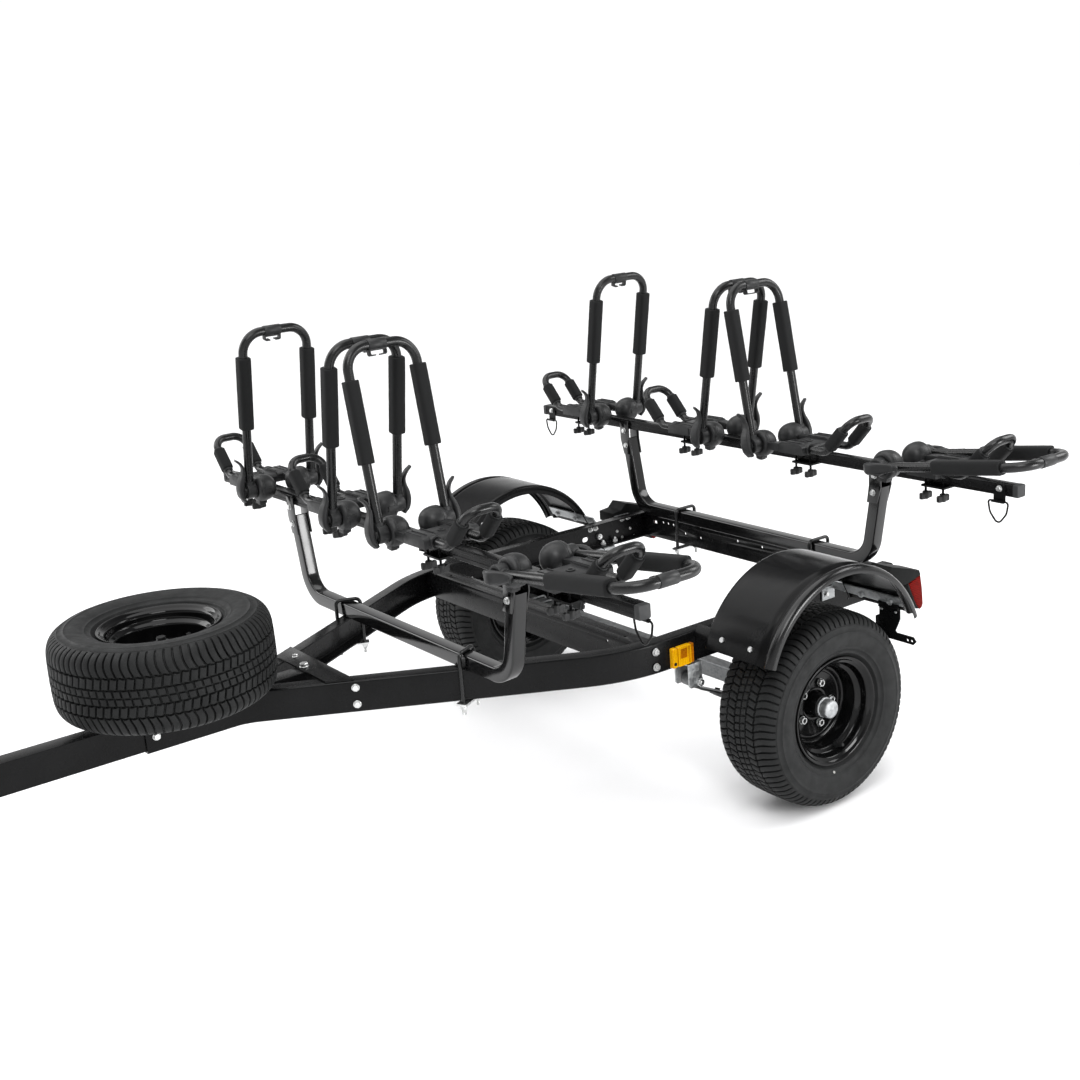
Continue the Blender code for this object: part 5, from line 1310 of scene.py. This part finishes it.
def arm_shapes():
    tubes, plastic, steel = Mesh(), Mesh(), Mesh()
    x, top = ARM_X, ARM_TOP
    tubes.add(tube([(-x, 0, 0.006), (-x, 0, top), (x, 0, top), (x, 0, 0.006)], (0, ARM_CORNER, ARM_CORNER, 0), ARM_TUBE_R, 28, 14, up=(0, 1, 0)))
    for s in (-1, 1):
        # socket round the tube's end
        plastic.add(
            revolve(
                ((0, -0.012), (0.0138, -0.012), (0.0152, -0.004), (0.0152, 0.016), (0.0148, 0.0235), (0.0141, 0.0280), (0.0124, 0.0290), (0, 0.0290)),
                AZ, 32, (s * x, 0, 0), closed=False,
            )
        )
        # boss with a stepped and fluted outer face
        profile = [(0, 0.0735), (0.0054, 0.0735), (0.0054, 0.0826), (0.0222, 0.0826), (0.0236, 0.0834), (0.0240, 0.0852), (0.0240, 0.1080), (0.0232, 0.1098), (0.0215, 0.1106), (0.0172, 0.1108), (0.0162, 0.1094), (0.0118, 0.1094), (0.0108, 0.1128), (0, 0.1130)]
        plastic.add(revolve([(r, s * h) for r, h in profile], AX, 40, closed=False))
        for i in range(10):
            a = 2 * PI * (i + 0.5) / 10
            rib = box(s * 0.1092 if s > 0 else -0.1108, 0.1108 if s > 0 else -0.1092, 0.0112, 0.0166, -0.0010, 0.0010)
            plastic.add(Mesh().add(rib, Matrix.Rotation(a, 4, "X")))
        steel.add(hex_bolt(0.0090, 0.0035, 0, button=True), matrix_to((s, 0, 0), (s * 0.1290, 0, -0.004)))
        # release lever: broad foot over the boss, waist, tip hooked outward
        line = smoothed(((0.1142, -0.0300), (0.1235, -0.0130), (0.1262, 0.0080), (0.1232, 0.0300), (0.1170, 0.0500), (0.1165, 0.0680), (0.1240, 0.0850), (0.1380, 0.0985)), 6)
        line = [Vector((s * u, 0, v)) for u, v in line]
        count = len(line)
        widths = (0.0125, 0.0165, 0.0172, 0.0155, 0.0118, 0.0086, 0.0082, 0.0060)
        thicks = (0.0046, 0.0074, 0.0082, 0.0072, 0.0052, 0.0038, 0.0036, 0.0022)
        outlines = []
        for k in range(count):
            q = (len(widths) - 1) * k / (count - 1)
            i = min(int(q), len(widths) - 2)
            half_w = widths[i] + (widths[i + 1] - widths[i]) * (q - i)
            half_t = thicks[i] + (thicks[i + 1] - thicks[i]) * (q - i)
            outlines.append(round_rect(half_t, half_w, half_t * 0.92, 4))
        plastic.add(sweep(line, outlines, up=(0, 1, 0)))
        tip = line[-1]
        d = (line[-1] - line[-2]).normalized()
        for k in range(4):
            p = tip - d * (0.004 + 0.0040 * k)
            side_of = Vector((d.z, 0, -d.x)) * (-s)
            plastic.add(tube([p - side_of * 0.0030 + Vector((0, -0.0060, 0)), p - side_of * 0.0030 + Vector((0, 0.0060, 0))], (0, 0), 0.0011, 8))
    # strap clip: a sleeve on the hoop with two hooks below
    plastic.add(revolve(((ARM_TUBE_R - 0.0004, -0.0245), (0.0137, -0.0248), (0.0143, -0.0240), (0.0143, 0.0240), (0.0137, 0.0248), (ARM_TUBE_R - 0.0004, 0.0245)), AX, 32, (0.009, 0, top)))
    for s in (-1, 1):
        hook = fillet([(0.009 + s * 0.0228, 0, top - 0.006), (0.009 + s * 0.0228, 0, top - 0.0260), (0.009 + s * 0.0082, 0, top - 0.0260)], (0, 0.0045, 0), 8)
        plastic.add(sweep(hook, round_rect(0.0018, 0.0085, 0.0012, 3), up=(0, 1, 0)))
    plastic.add(box(-0.0135, 0.0315, -0.0085, 0.0085, top - 0.0152, top - 0.0105))
    return tubes, plastic, steel


def pad_mesh(name, length, ru, rv, power, seed, sides=40, axis_up=True):
    """A foam sleeve: flat-sided, soft at both ends and a little uneven."""
    steps = 34
    edge = 0.0035
    rings = []
    stops = [0.0, 0.0006, 0.0018, edge]
    inside = [edge + (length - 2 * edge) * k / steps for k in range(1, steps)]
    for z in stops + inside + [length - q for q in reversed(stops)]:
        t = z / length
        end = min(z, length - z)
        soft = 1.0 if end > edge else 0.90 + 0.10 * math.sqrt(max(0.0, 1 - (1 - end / edge) ** 2))
        crown = 1.0 - 0.012 * (2 * t - 1) ** 2
        ring = []
        for i, (u, v) in enumerate(squircle(ru, rv, sides, power)):
            n = noise.noise(Vector((u * 40 + seed, v * 40, z * 16))) * 0.020 + noise.noise(Vector((u * 120, v * 120 + seed, z * 55))) * 0.010
            q = soft * crown * (1.0 + n) * 0.985
            ring.append(Vector((u * q, v * q, z)))
        rings.append(ring)
    return build(name, loft(rings), FOAM, sharp=75.0)


ARM_TUBES, ARM_PLASTIC, ARM_STEEL = arm_shapes()
ARM_MESH = build("hoop_arm", [(ARM_TUBES, 0), (ARM_PLASTIC, 1), (ARM_STEEL, 2)], [HOOP, PLASTIC, ZINC], sharp=38.0)
ARM_PADS = {s: pad_mesh(f"arm_pad_{k}", PAD_HIGH - PAD_LOW, 0.0193, 0.0193, 3.6, 3.1 * k) for k, s in ((1, -1), (2, 1))}


# ------------------------------------------------------------------ carrier bases
BAR_TOP_L = BAR_Z + BAR_W / 2 - PIVOT_Z
BAR_LOW_L = BAR_Z - BAR_W / 2 - PIVOT_Z


def base_shapes():
    plastic, steel, knobs, tubes = Mesh(), Mesh(), Mesh(), Mesh()
    z0 = BAR_TOP_L + 0.0003
    # saddle: bevelled block with a lower middle and raised ribs
    for a, b, top in ((-0.0800, -0.0330, 0.0160), (0.0330, 0.0800, 0.0160), (-0.0335, 0.0335, 0.0115)):
        plastic.add(
            prism(
                ((0.0800, z0), (0.1750, z0), (0.1750, top - 0.0075), (0.1700, top - 0.0020), (0.1640, top), (0.0910, top), (0.0850, top - 0.0020), (0.0800, top - 0.0075)),
                AX, a, b,
            )
        )
    # hooped lugs that hold the cradle tube, and ribs behind them
    for s in (-1, 1):
        plastic.add(revolve(((0.0114, 0.1560), (0.0165, 0.1560), (0.0172, 0.1575), (0.0172, 0.1790), (0.0162, 0.1812), (0.0114, 0.1812)), AY, 32, (s * 0.0475, 0, 0.0010)))
        for x in (0.0365, 0.0600, 0.0760):
            plastic.add(prism(((0.0870, 0.0150), (0.1600, 0.0150), (0.1560, 0.0182), (0.0930, 0.0182)), AX, s * x - 0.0011, s * x + 0.0011))
        # neck out to the ratchet housing
        x0, x1 = sorted((s * 0.0465, s * 0.0785))
        plastic.add(prism(((0.0100, -0.0110), (0.0860, -0.0110), (0.0860, 0.0120), (0.0600, 0.0105), (0.0330, 0.0070), (0.0100, 0.0070)), AX, x0, x1))
        # bulbous ratchet housing with a parting seam and a shallow recess under the lever
        profile = [
            (0, 0.0215), (0.0100, 0.0219), (0.0180, 0.0236), (0.0245, 0.0268), (0.0300, 0.0318), (0.0340, 0.0378), (0.0367, 0.0445),
            (0.0383, 0.0520), (0.0391, 0.0590), (0.0393, 0.0642), (0.0393, 0.0662), (0.0385, 0.0667), (0.0385, 0.0677), (0.0392, 0.0682),
            (0.0388, 0.0712), (0.0377, 0.0748), (0.0360, 0.0778), (0.0337, 0.0802), (0.0308, 0.0817), (0.0280, 0.0822), (0.0262, 0.0822),
            (0.0256, 0.0816), (0.0072, 0.0816), (0.0066, 0.0810), (0.0066, 0.0700), (0, 0.0700),
        ]
        plastic.add(revolve([(r, s * h) for r, h in profile], AX, 56, closed=False))
        # lower lug with its small foot
        plastic.add(prism(((-0.0105, -0.0445), (0.0105, -0.0445), (0.0135, -0.0330), (-0.0135, -0.0330)), AX, *sorted((s * 0.0540, s * 0.0770))))
        plastic.add(prism(((-0.0075, -0.0475), (0.0075, -0.0475), (0.0085, -0.0440), (-0.0085, -0.0440)), AX, *sorted((s * 0.0580, s * 0.0740))))
        # closing wall behind the housing
        plastic.add(prism(((-0.0400, -0.0090), (-0.0300, -0.0105), (-0.0300, 0.0060), (-0.0400, 0.0045)), AX, *sorted((s * 0.0480, s * 0.0770))))
    # small hole with a rim in the saddle's middle
    plastic.add(revolve(((0.0055, 0.0100), (0.0110, 0.0100), (0.0110, 0.0135), (0.0100, 0.0145), (0.0065, 0.0145), (0.0055, 0.0135)), AZ, 28, (0, 0.1275, 0)))
    # cradle tube
    up = math.radians(47.0)
    slope = Vector((0, math.cos(up), math.sin(up)))
    top = Vector((0, 0.236, 0)) + slope * 0.132
    x = 0.0475
    tubes.add(
        tube(
            [(-x, 0.150, 0), (-x, 0.236, 0), (-x, top.y, top.z), (x, top.y, top.z), (x, 0.236, 0), (x, 0.150, 0)],
            (0, 0.034, 0.036, 0.036, 0.034, 0), 0.0116, 24, 12, up=(0, 0, 1),
        )
    )
    # collars at the foot of the cradle pads
    for s in (-1, 1):
        for d0, d1 in ((0.0150, 0.0230), (0.0910, 0.0970)):
            at = Vector((s * x, 0.236, 0)) + slope * d0
            plastic.add(Mesh().add(revolve(((0.0112, 0), (0.0132, 0), (0.0140, 0.0008), (0.0140, d1 - d0 - 0.0008), (0.0132, d1 - d0), (0.0112, d1 - d0)), AZ, 24), matrix_to(slope, at)))
    # clamp round the bar
    low = BAR_LOW_L - 0.0003
    steel.add(prism(round_rect(0.0365, 0.0380, 0.0035, 4, 0.0015, 0.130), AZ, low - 0.0050, low))
    plastic.add(box(-0.0320, -0.0272, 0.0970, 0.1630, low - 0.0040, z0 + 0.004))
    for y in (0.102, 0.158):
        steel.add(threaded(0.0034, -0.0700, z0 + 0.004, 0.00125, 14).moved(0.0290, y, 0))
        knobs.add(revolve(((0, -0.0850), (0.0060, -0.0850), (0.0085, -0.0835), (0.0090, -0.0800), (0.0090, -0.0660), (0.0078, -0.0640), (0.0060, -0.0632), (0, -0.0632)), AZ, 24, (0.0290, y, 0), closed=False))
        wing = [(-0.0210, -0.0815), (-0.0195, -0.0838), (-0.0120, -0.0842), (0.0, -0.0848), (0.0120, -0.0842), (0.0195, -0.0838), (0.0210, -0.0815), (0.0212, -0.0700), (0.0195, -0.0668), (0.0150, -0.0662), (0.0085, -0.0690), (-0.0085, -0.0690), (-0.0150, -0.0662), (-0.0195, -0.0668), (-0.0212, -0.0700)]
        knobs.add(Mesh().add(prism(wing, AY, -0.0048, 0.0048), Matrix.Translation((0.0290, y, 0))))
    return plastic, steel, knobs, tubes, slope


BASE_PLASTIC, BASE_STEEL, BASE_KNOBS, BASE_TUBES, SLOPE = base_shapes()
CRADLE_PADS = {s: pad_mesh(f"cradle_pad_{k}", 0.070, 0.0168, 0.0172, 3.2, 7.7 * k, 32) for k, s in ((1, -1), (2, 1))}


def base_mesh(side):
    flip = (lambda s: s) if side > 0 else (lambda s: s.mirrored(AY))
    body = build("base_body", [(flip(BASE_PLASTIC), 0)], [PLASTIC], bevel=0.0008, segments=2, limit=40.0, sharp=38.0)
    rest = build("base_rest", [(flip(BASE_TUBES), 0), (flip(BASE_STEEL), 1)], [HOOP, SATIN], sharp=38.0)
    knobs = build("base_knobs", [(flip(BASE_KNOBS), 0)], [KNOB], bevel=0.0014, segments=3, limit=40.0, sharp=40.0)
    return body, rest, knobs


BASE_MESHES = {1: base_mesh(1), -1: base_mesh(-1)}
for name, x, y, side, folded in CARRIERS:
    at = (x, y, PIVOT_Z)
    body_mesh, rest_mesh, knob_mesh = BASE_MESHES[side]
    put(f"base_{name}_body", body_mesh, "frame", at, replaces=(f"carrier_base_{name}",))
    put(f"base_{name}_cradle", rest_mesh, "frame", at)
    put(f"base_{name}_knobs", knob_mesh, "frame", at)
    flip = Matrix.Identity(4) if side > 0 else Matrix.Diagonal((1, -1, 1, 1))
    slope_dir = Vector((0, side * SLOPE.y, SLOPE.z))
    for s in (-1, 1):
        foot = Vector((s * 0.0475, side * 0.236, 0)) + slope_dir * 0.0220
        turn = matrix_to(slope_dir)
        pad = put(f"cradle_pad_{name}_{'a' if s < 0 else 'b'}", CRADLE_PADS[s], "frame", Vector(at) + foot, turn)
    tilt = -side * FOLDED if folded else side * LEAN
    turn = Matrix.Rotation(tilt, 4, "X")
    put(f"arm_{name}_look", ARM_MESH, f"arm_{name}", at, turn, (f"carrier_arm_{name}",))
    for s in (-1, 1):
        slid = {("front_2", -1): 0.010, ("front_2", 1): 0.010, ("front_3", 1): -0.014, ("front_1", 1): -0.003, ("front_1", -1): -0.003}.get((name, s), 0.0)
        pad_at = Vector(at) + turn.to_3x3() @ Vector((s * ARM_X, 0, PAD_LOW + slid))
        pad = put(f"arm_pad_{name}_{'a' if s < 0 else 'b'}", ARM_PADS[s], f"arm_{name}", pad_at, turn)


# ------------------------------------------------------------------ floor, light, camera
def floor_material():
    n = Nodes("studio_floor")
    cloud = n.noise(0.8, 3.0)
    colour = n.ramp(cloud, ((0.30, (0.86, 0.86, 0.865)), (0.70, (0.90, 0.90, 0.905))))
    rough = n.range(n.noise(3.0, 3.0), 0.55, 0.75)
    return n.done(colour, rough, None, Metallic=0.0)


floor = Mesh()
floor.v = [Vector(p) for p in ((-30, -30, 0), (30, -30, 0), (30, 30, 0), (-30, 30, 0))]
floor.f = [[0, 1, 2, 3]]
floor_mesh = build("studio_floor", floor, floor_material())
floor_object = bpy.data.objects.new("studio_floor", floor_mesh)
bpy.context.scene.collection.objects.link(floor_object)

world = bpy.data.worlds.new("studio") if bpy.context.scene.world is None else bpy.context.scene.world
bpy.context.scene.world = world
world.use_nodes = True
back = world.node_tree.nodes["Background"]
wt = world.node_tree
where = wt.nodes.new("ShaderNodeTexCoord").outputs["Generated"]
split = wt.nodes.new("ShaderNodeSeparateXYZ")
wt.links.new(where, split.inputs["Vector"])
sky = wt.nodes.new("ShaderNodeValToRGB")
sky.color_ramp.elements[0].position = 0.28
sky.color_ramp.elements[0].color = (1.0, 1.0, 1.0, 1.0)
sky.color_ramp.elements[1].position = 0.75
sky.color_ramp.elements[1].color = (0.30, 0.30, 0.305, 1.0)
knee = sky.color_ramp.elements.new(0.42)
knee.color = (0.42, 0.42, 0.425, 1.0)
wt.links.new(split.outputs["Z"], sky.inputs["Fac"])
wt.links.new(sky.outputs["Color"], back.inputs["Color"])
back.inputs["Strength"].default_value = 1.02


def area(name, at, target, size, power):
    data = bpy.data.lights.new(name, "AREA")
    data.shape, data.size, data.energy = "SQUARE", size, power
    o = bpy.data.objects.new(name, data)
    bpy.context.scene.collection.objects.link(o)
    o.location = at
    o.rotation_euler = (Vector(target) - Vector(at)).to_track_quat("-Z", "Y").to_euler()
    return o


area("key_light", (1.5, 3.5, 5.0), (-0.8, 0.0, 0.4), 2.6, 150.0)
area("side_light", (-5.0, 2.0, 3.5), (-0.8, 0.0, 0.5), 2.4, 110.0)
area("far_light", (2.0, -4.5, 3.0), (-0.6, 0.0, 0.5), 2.4, 80.0)
area("riser_light", (-2.15, 3.45, 1.05), (-0.45, -0.50, 0.62), 1.0, 55.0)
sun_data = bpy.data.lights.new("overhead", "SUN")
sun_data.energy, sun_data.angle = 2.9, math.radians(75.0)
sun = bpy.data.objects.new("overhead", sun_data)
bpy.context.scene.collection.objects.link(sun)
sun.location = (0.0, 0.0, 6.0)
sun.rotation_euler = (math.radians(14.0), math.radians(10.0), 0.0)

yaw, pitch, roll = 4.09622878, -0.27169643, -0.07677595
look = Vector((math.cos(pitch) * math.cos(yaw), math.cos(pitch) * math.sin(yaw), math.sin(pitch)))
right = look.cross(Vector((0, 0, 1))).normalized()
up = right.cross(look)
c, s = math.cos(roll), math.sin(roll)
right, up = right * c + up * s, up * c - right * s
camera_data = bpy.data.cameras.new("camera")
camera_data.sensor_width = 36.0
camera_data.sensor_fit = "HORIZONTAL"
camera_data.lens = 1460.098 / 1080 * 36.0
camera_data.clip_end = 200.0
camera = bpy.data.objects.new("camera", camera_data)
bpy.context.scene.collection.objects.link(camera)
camera.matrix_world = Matrix(
    (
        (right.x, up.x, -look.x, 2.5840521 + SHIFT.x),
        (right.y, up.y, -look.y, 3.1600250 + SHIFT.y),
        (right.z, up.z, -look.z, 1.7342015),
        (0, 0, 0, 1),
    )
)
bpy.context.scene.camera = camera
bpy.context.scene.view_settings.view_transform = "Standard"

bpy.context.view_layer.update()
